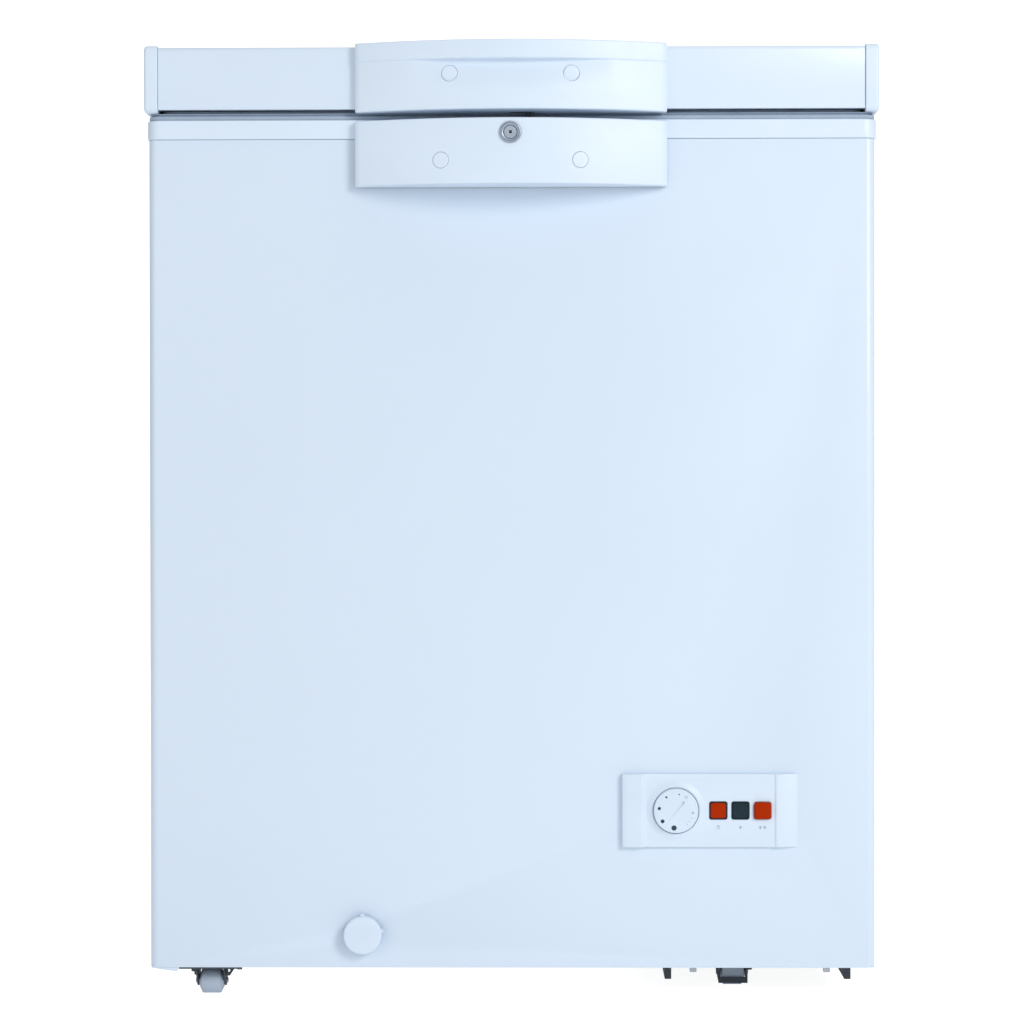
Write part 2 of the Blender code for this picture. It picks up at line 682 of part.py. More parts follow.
def compressor_tray():
    """Folded tray under the bay; its side flanges turn down."""
    half = TRAY_WIDTH / 2
    low = TRAY_TOP - TRAY_FLANGE_DROP
    under = TRAY_TOP - TRAY_SHEET
    outline = [
        (TRAY_X - half, low),
        (TRAY_X - half + TRAY_FLANGE, low),
        (TRAY_X - half + TRAY_FLANGE, under),
        (TRAY_X + half - TRAY_FLANGE, under),
        (TRAY_X + half - TRAY_FLANGE, low),
        (TRAY_X + half, low),
        (TRAY_X + half, TRAY_TOP),
        (TRAY_X - half, TRAY_TOP),
    ]
    shape = prism(outline, "Y", FRONT + TRAY_SETBACK, BACK - EDGE_GAP)
    part("compressor_tray", shape, "dark_steel")


def filter_drier():
    r = DRIER_RADIUS
    length = DRIER_LENGTH
    profile = [
        (0.0028, 0.0),
        (0.0028, 0.010),
        (r, 0.020),
        (r, length - 0.020),
        (0.0022, length - 0.010),
        (0.0022, length),
    ]
    centre = (BAY_X + r + 0.006, BACK - 0.060, TRAY_TOP + 0.055)
    part("filter_drier", lathe(profile, centre, (0, 0, 1), 12), "copper", smooth=True)


def pipes():
    """Pipes from the pot to the two coils."""
    end = RISER_END - GAP
    reach = COMPRESSOR_RADIUS + 0.002
    low = TRAY_TOP + COMPRESSOR_FOOT + COMPRESSOR_HEIGHT * 0.60
    x = CONDENSER_HALF[0]
    y = COMPRESSOR_Y + 0.015
    discharge = [
        (TRAY_X + reach, y, low),
        (x - 0.010, y, low),
        (x - 0.010, y, low + 0.055),
        (x, CONDENSER_RISER_Y, low + 0.065),
        (x, CONDENSER_RISER_Y, end),
    ]
    part("discharge_pipe", tube(bent_path(discharge, 0.012), COIL_RADIUS), "copper", smooth=True)
    x = EVAPORATOR_HALF[0]
    y = COMPRESSOR_Y - reach
    suction = [
        (TRAY_X + 0.012, y, low),
        (TRAY_X + 0.012, y - 0.030, low),
        (TRAY_X + 0.030, y - 0.030, low + 0.075),
        (x, EVAPORATOR_RISER_Y, low + 0.085),
        (x, EVAPORATOR_RISER_Y, end),
    ]
    part("suction_pipe", tube(bent_path(suction, 0.012), COIL_RADIUS), "copper", smooth=True)


def gland_place():
    return BAY_X + 0.028, FLOOR_CLEARANCE + 0.030


def rear_grille():
    x = (BAY_X + GAP, SIDE - SHEET - GAP)
    z = (FLOOR_CLEARANCE, BAY_TOP - BASE_SHEET - GAP)
    y = (BACK - GRILLE_SHEET, BACK)
    item = part("rear_grille", box(x, y, z), "galvanised")
    pitch = (z[1] - z[0]) / (GRILLE_SLOTS + 2)
    for i in range(GRILLE_SLOTS):
        middle = z[1] - pitch * (i + 1)
        slot_z = (middle - GRILLE_SLOT_HEIGHT / 2, middle + GRILLE_SLOT_HEIGHT / 2)
        slot = box((x[0] + 0.020, x[1] - 0.020), (y[0] - 0.01, y[1] + 0.01), slot_z)
        combine(item, f"grille_slot_{i + 1}", slot)
    gland_x, gland_z = gland_place()
    hole = rod((gland_x, BACK, gland_z), (0, 1, 0), GLAND_RADIUS + SHAFT_GAP, -0.01, 0.01)
    combine(item, "gland_hole", hole)


def cable_gland():
    """Flanged bush where a mains lead would enter."""
    gland_x, gland_z = gland_place()
    profile = [
        (GLAND_BORE, -0.010),
        (GLAND_RADIUS, -0.010),
        (GLAND_RADIUS, GAP),
        (GLAND_FLANGE, GAP),
        (GLAND_FLANGE, 0.0025),
        (GLAND_RADIUS * 0.8, 0.008),
        (GLAND_BORE, 0.008),
    ]
    shape = lathe(profile, (gland_x, BACK, gland_z), (0, 1, 0), 16, bored=True)
    part("cable_gland", shape, "black_rubber", smooth=True)


# Drain


def drain_bore():
    """Outer radius of the fixed socket that the drain tube slides in."""
    return DRAIN_TUBE_RADIUS + SHAFT_GAP + DRAIN_SOCKET_WALL


def drain_socket():
    inner = DRAIN_TUBE_RADIUS + SHAFT_GAP
    outer = drain_bore()
    profile = [
        (inner, -GAP - DRAIN_FLANGE_THICK),
        (DRAIN_FLANGE_RADIUS, -GAP - DRAIN_FLANGE_THICK),
        (DRAIN_FLANGE_RADIUS, -GAP),
        (outer, -GAP),
        (outer, WALL - 0.005),
        (inner, WALL - 0.005),
    ]
    shape = lathe(profile, (DRAIN_X, FRONT, DRAIN_Z), (0, 1, 0), 20, bored=True)
    part("drain_socket", shape, "white_plastic", smooth=True)


def drain_tube():
    """Pull-out pipe with a closed nose; its cap turns on the outer end."""
    face = -2 * GAP - DRAIN_FLANGE_THICK
    wall = DRAIN_TUBE_RADIUS - DRAIN_TUBE_WALL
    profile = [
        (DRAIN_TUBE_RADIUS, face),
        (DRAIN_TUBE_RADIUS, DRAIN_LENGTH),
        (wall, DRAIN_LENGTH),
        (wall, face),
    ]
    origin = (DRAIN_X, FRONT, DRAIN_Z)
    part("drain_tube", lathe(profile, origin, (0, 1, 0), 20, bored=True), "white_plastic", origin, smooth=True)


def drain_cap():
    """Round cap with a pointer tab, turned to open the drain."""
    near = -3 * GAP - DRAIN_FLANGE_THICK
    far = near - DRAIN_CAP_THICK
    r = DRAIN_CAP_RADIUS
    profile = [
        (r - 0.0010, near),
        (r, near - 0.0010),
        (r - 0.0004, far + 0.0022),
        (r - 0.0022, far),
        (0.006, far),
    ]
    origin = (DRAIN_X, FRONT, DRAIN_Z)
    shape = lathe(profile, origin, (0, 1, 0), 28)
    item = part("drain_cap", shape, "white_plastic", origin, smooth=True)
    for name, angle in (("side_tab", 12.0), ("top_tab", 92.0)):
        a = math.radians(angle)
        spot = (DRAIN_X + r * math.cos(a), FRONT, DRAIN_Z + r * math.sin(a))
        tab = rod(spot, (0, 1, 0), 0.0016, far + 0.003, near - 0.0015, 8)
        combine(item, name, tab, "UNION")


def drain_plug():
    """Rubber stopper in the hole in the liner's floor."""
    r = DRAIN_PLUG_RADIUS
    profile = [
        (DRAIN_PLUG_STEM - 0.001, -DRAIN_PLUG_LENGTH),
        (DRAIN_PLUG_STEM, -DRAIN_PLUG_LENGTH + 0.002),
        (DRAIN_PLUG_STEM, GAP),
        (r, GAP),
        (r, 0.002),
        (r - 0.001, 0.003),
        (0.005, 0.003),
        (0.0045, 0.009),
        (0.003, 0.010),
    ]
    origin = (DRAIN_X, DRAIN_SUMP_Y, LINER_FLOOR)
    part("drain_plug", lathe(profile, origin, (0, 0, 1), 20), "gasket_rubber", origin, smooth=True)


# Control panel


def control_panel():
    """Bezel with a recessed field between two raised wings."""
    back = FRONT - GAP
    face = FRONT - GAP - PANEL_DEPTH
    e = PANEL_EDGE
    outline = [
        (PANEL_LEFT, back),
        (PANEL_LEFT, face + 2 * e),
        (PANEL_LEFT + e, face + e),
        (PANEL_LEFT + PANEL_LEFT_WING - e, face),
        (PANEL_LEFT + PANEL_LEFT_WING, FIELD_Y),
        (PANEL_RIGHT - PANEL_RIGHT_WING, FIELD_Y),
        (PANEL_RIGHT - PANEL_RIGHT_WING + e, face),
        (PANEL_RIGHT - 6 * e, face + 0.5 * e),
        (PANEL_RIGHT - 2 * e, face + 2 * e),
        (PANEL_RIGHT, back - e),
        (PANEL_RIGHT, back),
    ]
    low = PANEL_Z - PANEL_HEIGHT / 2
    item = part("control_panel", prism(outline, "Z", low, low + PANEL_HEIGHT), "white_plastic")
    dish = lathe(
        [(DIAL_DISH_RADIUS + 0.002, -0.010), (DIAL_DISH_RADIUS + 0.0004, -0.0004), (DIAL_DISH_RADIUS * 0.9, DIAL_DISH_DEPTH)],
        (DIAL_X, FIELD_Y, PANEL_Z),
        (0, 1, 0),
        28,
    )
    combine(item, "dial_dish", dish)
    spindle = rod((DIAL_X, FIELD_Y, PANEL_Z), (0, 1, 0), DIAL_SPINDLE + SHAFT_GAP, -0.01, 0.01, 12)
    combine(item, "spindle_hole", spindle)
    half = STEM_SIZE / 2 + SHAFT_GAP
    for index, name in enumerate(("power_lamp", "run_lamp", "button")):
        x = lamp_x(index)
        hole = box((x - half, x + half), (FIELD_Y - 0.01, FRONT + 0.01), (PANEL_Z - half, PANEL_Z + half))
        combine(item, f"{name}_hole", hole)
    half = LAMP_SIZE / 2 + GAP
    x = lamp_x(2)
    well_y = (FIELD_Y - 0.01, FIELD_Y + 0.0022)
    well = box((x - half, x + half), well_y, (PANEL_Z - half, PANEL_Z + half))
    combine(item, "button_well", well)


def thermostat():
    """Capillary thermostat behind the wrap."""
    half_x = THERMOSTAT_WIDTH / 2
    half_z = THERMOSTAT_HEIGHT / 2
    y = FRONT + SHEET + EDGE_GAP
    x = (DIAL_X - half_x, DIAL_X + half_x)
    z = (PANEL_Z - half_z, PANEL_Z + half_z)
    item = part("thermostat", box(x, (y, y + THERMOSTAT_DEPTH), z), "galvanised")
    bore = DIAL_SPINDLE + SHAFT_GAP
    combine(item, "thermostat_bore", rod((DIAL_X, y, PANEL_Z), (0, 1, 0), bore, -0.01, 0.012, 12))


def thermostat_dial():
    """Round knob on a spindle, with a pointer ridge."""
    floor = DIAL_DISH_DEPTH - 2 * GAP
    face = floor - DIAL_HEIGHT
    r = DIAL_RADIUS
    spindle_end = FRONT + SHEET + EDGE_GAP + 0.010 - FIELD_Y
    profile = [
        (DIAL_SPINDLE, spindle_end),
        (DIAL_SPINDLE, floor),
        (r - 0.0006, floor),
        (r, floor - 0.0008),
        (r - 0.0008, face + 0.0012),
        (r - 0.0022, face),
        (0.004, face),
    ]
    origin = (DIAL_X, FIELD_Y, PANEL_Z)
    shape = lathe(profile, origin, (0, 1, 0), 32)
    item = part("thermostat_dial", shape, "white_plastic", origin, smooth=True)
    turn = math.radians(40.0)
    along = Vector((math.cos(turn), 0.0, math.sin(turn)))
    across = Vector((-math.sin(turn), 0.0, math.cos(turn)))
    centre = Vector(origin)
    loops = []
    for reach, half in ((-0.0125, 0.0012), (0.0165, 0.0040)):
        corners = ((-half, face - 0.0022), (half, face - 0.0022), (half * 1.3, face + 0.001), (-half * 1.3, face + 0.001))
        loops.append([centre + along * reach + across * s + Vector((0, y, 0)) for s, y in corners])
    combine(item, "pointer", loft(loops), "UNION")


def square_stack(x, sections):
    """Loops of squares round a lamp's axis: (half side, y)."""
    return [[(x + u, y, PANEL_Z + v) for u, v in rect((-h, h), (-h, h))] for h, y in sections]


def lamps():
    """Lenses with stems that snap through the panel."""
    for index, name, style in ((0, "power_lamp_lens", "orange_lens"), (1, "run_lamp_lens", "dark_lens")):
        half = LAMP_SIZE / 2
        face = FIELD_Y - LAMP_PROUD
        stem = STEM_SIZE / 2
        sections = [
            (half - 0.0006, face),
            (half, face + 0.0004),
            (half, FIELD_Y - GAP),
            (stem, FIELD_Y - GAP),
            (stem, FRONT + SHEET + 0.008),
        ]
        part(name, loft(square_stack(lamp_x(index), sections)), style)


def fast_freeze_button():
    half = LAMP_SIZE / 2 - GAP
    x = lamp_x(2)
    face = FIELD_Y - BUTTON_PROUD
    stem = STEM_SIZE / 2
    seat = FIELD_Y + 0.0022 - BUTTON_TRAVEL - GAP
    sections = [
        (half - 0.0010, face),
        (half, face + 0.0008),
        (half, seat),
        (stem, seat),
        (stem, FRONT + SHEET + 0.006),
    ]
    origin = (x, FIELD_Y, PANEL_Z)
    part("fast_freeze_button", loft(square_stack(x, sections)), "orange_lens", origin)


def switch_body():
    """Switch behind the button, with a well for its stem."""
    x = lamp_x(2)
    half = SWITCH_WIDTH / 2
    y = FRONT + SHEET + EDGE_GAP
    z = (PANEL_Z - half, PANEL_Z + half)
    item = part("switch_body", box((x - half, x + half), (y, y + SWITCH_DEPTH), z), "dark_plastic")
    well = STEM_SIZE / 2 + SHAFT_GAP
    depth = 0.006 + BUTTON_TRAVEL + 0.001
    z = (PANEL_Z - well, PANEL_Z + well)
    combine(item, "switch_well", box((x - well, x + well), (y - 0.01, y + depth), z))


# Bowed handle and lock housing


def bow(x, rise):
    return BOW_END + rise * (1 - (x / BOW_HALF) ** 2)


def scoop(x, z):
    """Depth of the finger scoop below the handle's lip."""
    across = max(0.0, 1 - (x / SCOOP_HALF) ** 2)
    crease = HANDLE_TOP - LIP_HEIGHT - 0.0025
    down = min(1.0, max(0.0, 1 - (crease - z) / SCOOP_HEIGHT))
    return SCOOP_DEPTH * across * down * down * (3 - 2 * down) + 0.0010


def handle_section(x, wall):
    """Outline of the handle at a station: (distance out from the lid, z)."""
    d = bow(x, HANDLE_BOW) - wall
    top = HANDLE_TOP - wall
    low = HANDLE_BOTTOM + wall
    lip = HANDLE_TOP - LIP_HEIGHT
    crease = lip - 0.0025
    face = [(d - scoop(x, z), z) for z in (crease, crease - 0.009, crease - 0.018, crease - 0.027)]
    back = GAP if wall == 0 else -0.01
    return [
        (back, top),
        (d - BOW_EDGE, top),
        (d, top - BOW_EDGE),
        (d, lip + (wall * 0.5)),
        *face,
        (d - 0.0012, low + BOW_EDGE),
        (d - 0.0012 - BOW_EDGE, low),
        (back, low),
    ]


def housing_section(x, wall):
    """Outline of the lock housing at a station: (distance out from the frame, z)."""
    d = bow(x, HOUSING_BOW) - wall
    top = HOUSING_TOP - wall
    low = HOUSING_BOTTOM + wall
    back = GAP if wall == 0 else -0.01
    return [
        (back, top),
        (d - BOW_EDGE, top),
        (d, top - BOW_EDGE),
        (d, low + BOW_EDGE),
        (d - BOW_EDGE, low),
        (back, low),
    ]


def bowed(section, wall):
    """Loft a section along X between the two ends."""
    half = BOW_HALF - wall
    loops = []
    for i in range(BOW_STATIONS + 1):
        x = -half + 2 * half * i / BOW_STATIONS
        loops.append([(x, LID_FRONT - out, z) for out, z in section(x, wall)])
    return loft(loops)


def screw_cap_place(x, z, depth, rise):
    """Centre and outward normal of a screw cap on a bowed face."""
    slope = 2 * rise * x / BOW_HALF**2
    normal = Vector((slope, -1.0, 0.0)).normalized()
    return Vector((x, LID_FRONT - depth, z)), normal


def handle_cap_places():
    z = HANDLE_TOP - HANDLE_CAP_DROP
    for side, x in (("left", -HANDLE_CAP_X), ("right", HANDLE_CAP_X)):
        depth = bow(x, HANDLE_BOW) - scoop(x, z)
        yield side, *screw_cap_place(x, z, depth, HANDLE_BOW * 0.6)


def housing_cap_places():
    z = HOUSING_TOP - HOUSING_CAP_DROP
    for side, x in (("left", -HOUSING_CAP_X), ("right", HOUSING_CAP_X)):
        yield side, *screw_cap_place(x, z, bow(x, HOUSING_BOW), HOUSING_BOW)


def screw_cap(name, centre, normal, parent=None):
    r = SCREW_CAP_RADIUS
    profile = [(r, -SCREW_CAP_LENGTH), (r, SCREW_CAP_PROUD - 0.0003), (r - 0.0004, SCREW_CAP_PROUD)]
    shape = lathe(profile, centre, normal, 20)
    origin = parent.location if parent else (0.0, 0.0, 0.0)
    part(name, shape, "white_plastic", origin, parent, smooth=True)


def keeper_notch(z):
    """Room for the keeper, and for its swing, in the rear edge of a bowed moulding."""
    x = (-CAM_WIDTH / 2 - 0.0012, CAM_REACH + KEEPER_LEG + 0.003)
    return box(x, (LID_FRONT - 0.0075, LID_FRONT + 0.01), z)


def lid_handle(lid):
    item = part("lid_handle", bowed(handle_section, 0.0), "white_plastic", lid.location, lid)
    combine(item, "handle_hollow", bowed(handle_section, BOW_WALL))
    combine(item, "handle_notch", keeper_notch((HANDLE_BOTTOM - 0.01, HANDLE_BOTTOM + 0.01)))
    for side, centre, normal in handle_cap_places():
        hole = rod(centre, normal, SCREW_CAP_RADIUS + GAP, -0.02, 0.02, 20)
        combine(item, f"handle_cap_hole_{side}", hole)
        screw_cap(f"handle_screw_cap_{side}", centre, normal, lid)


def lock_housing():
    item = part("lock_housing", bowed(housing_section, 0.0), "white_plastic")
    combine(item, "housing_hollow", bowed(housing_section, BOW_WALL))
    combine(item, "housing_notch", keeper_notch((HOUSING_TOP - 0.01, HOUSING_TOP + 0.01)))
    centre = (0.0, LOCK_FACE, LOCK_Z)
    combine(item, "barrel_hole", rod(centre, (0, 1, 0), BARREL_RADIUS + GAP, -0.01, 0.02, 20))
    for side, centre, normal in housing_cap_places():
        hole = rod(centre, normal, SCREW_CAP_RADIUS + GAP, -0.02, 0.02, 20)
        combine(item, f"housing_cap_hole_{side}", hole)
        screw_cap(f"housing_screw_cap_{side}", centre, normal)


# Lock


def cam_plane():
    """Distances from the lock's face to the front and the rear of the cam."""
    rear = BOW_END + HOUSING_BOW - EDGE_GAP
    return rear - CAM_THICK, rear


def lock_barrel():
    """Fixed body with its bezel."""
    inner = CYLINDER_RADIUS + SHAFT_GAP
    end = cam_plane()[0] - EDGE_GAP
    profile = [
        (inner, -BEZEL_PROUD),
        (BEZEL_RADIUS - 0.0008, -BEZEL_PROUD),
        (BEZEL_RADIUS, -BEZEL_PROUD + 0.0008),
        (BEZEL_RADIUS, -GAP),
        (BARREL_RADIUS, -GAP),
        (BARREL_RADIUS, end),
        (inner, end),
    ]
    shape = lathe(profile, (0.0, LOCK_FACE, LOCK_Z), (0, 1, 0), 20, bored=True)
    part("lock_barrel", shape, "chrome", smooth=True)


def lock_cylinder():
    """Turning plug with its keyway."""
    origin = (0.0, LOCK_FACE, LOCK_Z)
    end = cam_plane()[0] - GAP
    face = -BEZEL_PROUD + CYLINDER_PROUD
    profile = [(CYLINDER_RADIUS - 0.0006, face), (CYLINDER_RADIUS, face + 0.0006), (CYLINDER_RADIUS, end)]
    item = part("lock_cylinder", lathe(profile, origin, (0, 1, 0), 16), "chrome", origin, smooth=True)
    x = (-KEYWAY_WIDTH / 2, KEYWAY_WIDTH / 2)
    z = (LOCK_Z - KEYWAY_HEIGHT / 2, LOCK_Z + KEYWAY_HEIGHT / 2)
    combine(item, "keyway", box(x, (LOCK_FACE - 0.01, LOCK_FACE + KEYWAY_DEPTH), z))


def lock_cam():
    """Tongue on the rear of the plug; it points up when the lock is open."""
    half = CAM_WIDTH / 2
    start, stop = cam_plane()
    outline = arc((0.0, LOCK_Z), half, 180, 360, 8)
    outline += [(half, LOCK_Z + CAM_REACH - 0.001), (half - 0.001, LOCK_Z + CAM_REACH)]
    outline += [(-half + 0.001, LOCK_Z + CAM_REACH), (-half, LOCK_Z + CAM_REACH - 0.001)]
    origin = (0.0, LOCK_FACE, LOCK_Z)
    part("lock_cam", prism(outline, "Y", LOCK_FACE + start, LOCK_FACE + stop), "galvanised", origin)


def lock_keeper(lid):
    """Hook that hangs from the lid; the locked cam lies over its foot."""
    near = CAM_REACH + EDGE_GAP + GAP
    far = near + KEEPER_LEG
    foot_top = LOCK_Z - CAM_WIDTH / 2 - EDGE_GAP
    foot = CAM_WIDTH / 2 + KEEPER_CLEARANCE
    outline = [
        (foot, foot_top - KEEPER_HOOK),
        (far, foot_top - KEEPER_HOOK),
        (far, LID_BOTTOM + KEEPER_TOP),
        (near, LID_BOTTOM + KEEPER_TOP),
        (near, foot_top),
        (foot, foot_top),
    ]
    rear = LID_FRONT - EDGE_GAP
    shape = prism(outline, "Y", rear - KEEPER_THICK, rear)
    part("lock_keeper", shape, "galvanised", lid.location, lid)


# Lid


def lid_sheet_path(inset):
    """Section of the lid's sheet: front hem, front, top, back and back hem."""
    front = LID_FRONT + inset
    back = LID_BACK - inset
    top = LID_TOP - inset
    low = LID_BOTTOM + inset
    radius = LID_RADIUS - inset
    rise = arc((front + radius, top - radius), radius, 180, 90, 3)
    fall = arc((back - radius, top - radius), radius, 90, 0, 3)
    hem = LID_HEM
    return [(LID_FRONT + hem, low), (front, low), *rise, *fall, (back, low), (LID_BACK - hem, low)]


def lid_outer_panel(lid):
    outline = lid_sheet_path(0.0) + lid_sheet_path(SHEET)[::-1]
    shape = prism(outline, "X", -LID_HALF, LID_HALF)
    part("lid_outer_panel", shape, "white_paint", lid.location, lid)


def plug_half(extra):
    """Half sizes of the plug that drops into the frame's throat."""
    inset = GAP + RIM_WALL + PLUG_CLEARANCE + extra
    return LINER_HALF[0] - inset, LINER_HALF[1] - inset


def lid_pan_half():
    return LID_HALF - EDGE_GAP, CABINET_DEPTH / 2 + PROUD - SHEET - EDGE_GAP


def lid_inner_liner(lid):
    """Formed pan that closes the lid from below, with a plug that drops into the throat."""
    low = LID_BOTTOM + SHEET + GAP
    foot = RIM_TOP - PLUG_DROP + LID_GAP
    t = LID_PAN
    sections = [
        (*plug_half(0.005 + t), 0.012, foot + t),
        (*plug_half(t), 0.016, low + t),
        (*lid_pan_half(), 0.004, low + t),
        (*lid_pan_half(), 0.004, low),
        (*plug_half(0.0), 0.016, low),
        (*plug_half(0.005), 0.012, foot),
    ]
    part("lid_inner_liner", loft(plate_loops(sections)), "white_plastic", lid.location, lid)


def lid_foam(lid):
    low = LID_BOTTOM + SHEET + LID_PAN + 2 * GAP
    foot = RIM_TOP - PLUG_DROP + LID_GAP + LID_PAN + GAP
    top = LID_TOP - SHEET - GAP
    half_x, half_y = lid_pan_half()
    t = LID_PAN + EDGE_GAP
    sections = [
        (*plug_half(0.005 + t), 0.012, foot),
        (*plug_half(t), 0.016, low),
        (half_x, half_y, 0.004, low),
        (half_x, half_y, 0.004, top - 0.004),
        (half_x, half_y - 0.004, 0.004, top),
    ]
    part("lid_foam", loft(plate_loops(sections)), "foam", lid.location, lid)


def lid_gasket(lid):
    """Magnetic bellows seal: a wide foot on the frame and a narrow neck clipped to the lid."""
    half_x = CAP_OUTER
    half_y = CABINET_DEPTH / 2 + PROUD
    foot = RIM_TOP + GAP
    waist = LID_BOTTOM - CAP_DROP - EDGE_GAP
    top = LID_BOTTOM - GAP
    inner = GASKET_NECK + GASKET_WIDTH * 0.4
    sections = [
        (half_x - GASKET_INSET, half_y - GASKET_INSET, 0.010, foot),
        (half_x - GASKET_INSET, half_y - GASKET_INSET, 0.010, foot + 0.0030),
        (half_x - GASKET_INSET - 0.002, half_y - GASKET_INSET - 0.002, 0.010, waist),
        (half_x - GASKET_NECK - 0.001, half_y - GASKET_NECK, 0.010, waist + 0.0004),
        (half_x - GASKET_NECK - 0.001, half_y - GASKET_NECK, 0.010, top),
        (half_x - inner, half_y - inner, 0.010, top),
        (half_x - GASKET_INSET - GASKET_WIDTH, half_y - GASKET_INSET - GASKET_WIDTH, 0.010, waist),
        (half_x - GASKET_INSET - GASKET_WIDTH, half_y - GASKET_INSET - GASKET_WIDTH, 0.010, foot),
    ]
    shape = loft(plate_loops(sections), closed=True)
    part("lid_gasket", shape, "gasket_rubber", lid.location, lid)


def lid_end_caps(lid):
    """Moulded caps that close the two open ends of the folded lid."""
    half_y = CABINET_DEPTH / 2 + PROUD + CAP_PROUD
    low = LID_BOTTOM - CAP_DROP
    high = LID_TOP + CAP_PROUD
    centre = (CENTRE_Y, (low + high) / 2)
    half_z = (high - low) / 2

    def outline(inset, radius):
        return rounded_rect(half_y - inset, half_z - inset, radius, centre=centre)

    for side, sign in (("left", -1), ("right", 1)):
        loops = []
        for x, inset in ((LID_HALF + GAP, 0.0), (CAP_OUTER - 0.003, 0.0), (CAP_OUTER - 0.0009, 0.0009), (CAP_OUTER, 0.003)):
            loops.append([(sign * x, y, z) for y, z in outline(inset, 0.006 - inset)])
        item = part(f"lid_end_cap_{side}", loft(loops), "white_plastic", lid.location, lid)
        inner = [
            [(sign * x, y, z) for y, z in outline(CAP_WALL, 0.003)]
            for x in (LID_HALF - 0.01, CAP_OUTER - CAP_WALL)
        ]
        combine(item, f"end_cap_hollow_{side}", loft(inner))


# Hinges


def hinge_places():
    return (("left", -HINGE_X), ("right", HINGE_X))


def hinge_bases():
    """Folded bracket on the back: a plate and two ears that hold the pin."""
    front = BACK + GAP
    ear_front = HINGE_Y - HINGE_EAR_RADIUS
    rear = HINGE_Y + HINGE_EAR_RADIUS + 0.003
    top_plate = RIM_BOTTOM - 0.003
    low = top_plate - HINGE_BASE_HEIGHT
    side_view = [
        (front, low),
        (front + HINGE_SHEET, low),
        (rear, top_plate - 0.020),
        (rear, HINGE_Z - 0.004),
        *arc((HINGE_Y, HINGE_Z), HINGE_EAR_RADIUS, 0, 180, 8),
        (ear_front, RIM_BOTTOM - 0.001),
        (front, top_plate),
    ]
    for side, x in hinge_places():
        inner = HINGE_WIDTH / 2 + SHAFT_GAP
        outer = inner + HINGE_SHEET
        plan = [
            (x - outer, front - 0.001),
            (x + outer, front - 0.001),
            (x + outer, rear + 0.001),
            (x + inner, rear + 0.001),
            (x + inner, front + HINGE_SHEET),
            (x - inner, front + HINGE_SHEET),
            (x - inner, rear + 0.001),
            (x - outer, rear + 0.001),
        ]
        item = part(f"hinge_base_{side}", prism(plan, "Z", low - 0.001, HINGE_Z + 0.02), "galvanised")
        trim = prism(side_view, "X", x - outer - 0.001, x + outer + 0.001)
        combine(item, f"hinge_trim_{side}", trim, "INTERSECT")
        bore = rod((x, HINGE_Y, HINGE_Z), (1, 0, 0), HINGE_PIN_RADIUS + SHAFT_GAP, -0.05, 0.05, 12)
        combine(item, f"hinge_bore_{side}", bore)


def hinge_pins():
    for side, x in hinge_places():
        half = HINGE_WIDTH / 2 + SHAFT_GAP + HINGE_SHEET + EDGE_GAP
        r = HINGE_PIN_RADIUS
        profile = [
            (r + 0.0015, -half - PIN_HEAD),
            (r + 0.0015, -half),
            (r, -half),
            (r, half + 0.002),
            (r - 0.0006, half + 0.0026),
        ]
        shape = lathe(profile, (x, HINGE_Y, HINGE_Z), (1, 0, 0), 12)
        part(f"hinge_pin_{side}", shape, "chrome", smooth=True)


def hinge_arms(lid):
    """Plate on the lid's back that ends in the barrel round the pin."""
    r = HINGE_BARREL_RADIUS
    front = HINGE_Y - r
    top = HINGE_Z + HINGE_ARM_HEIGHT
    start = math.degrees(math.acos(-(r - HINGE_SHEET) / r))
    outline = [(front, top), (front, HINGE_Z)]
    outline += arc((HINGE_Y, HINGE_Z), r, 180, 360 + start, 14)[1:]
    outline.append((front + HINGE_SHEET, top))
    for side, x in hinge_places():
        half = HINGE_WIDTH / 2
        shape = prism(outline, "X", x - half, x + half)
        item = part(f"hinge_arm_{side}", shape, "galvanised", lid.location, lid)
        bore = rod((x, HINGE_Y, HINGE_Z), (1, 0, 0), HINGE_PIN_RADIUS + SHAFT_GAP, -0.05, 0.05, 12)
        combine(item, f"arm_bore_{side}", bore)


# Casters


def caster_places():
    """Name, x, y, height of the mounting face and the direction of the nearer end of the cabinet."""
    under_base = FLOOR_CLEARANCE - GAP
    under_tray = TRAY_TOP - TRAY_SHEET - GAP
    yield "front_left", LEFT_CASTER_X, FRONT + LEFT_SETBACK, under_base, -1
    yield "rear_left", LEFT_CASTER_X, BACK - LEFT_SETBACK, under_base, 1
    yield "front_right", RIGHT_CASTER_X, FRONT + RIGHT_SETBACK, under_tray, -1
    yield "rear_right", RIGHT_CASTER_X, BACK - RIGHT_SETBACK, under_tray, 1


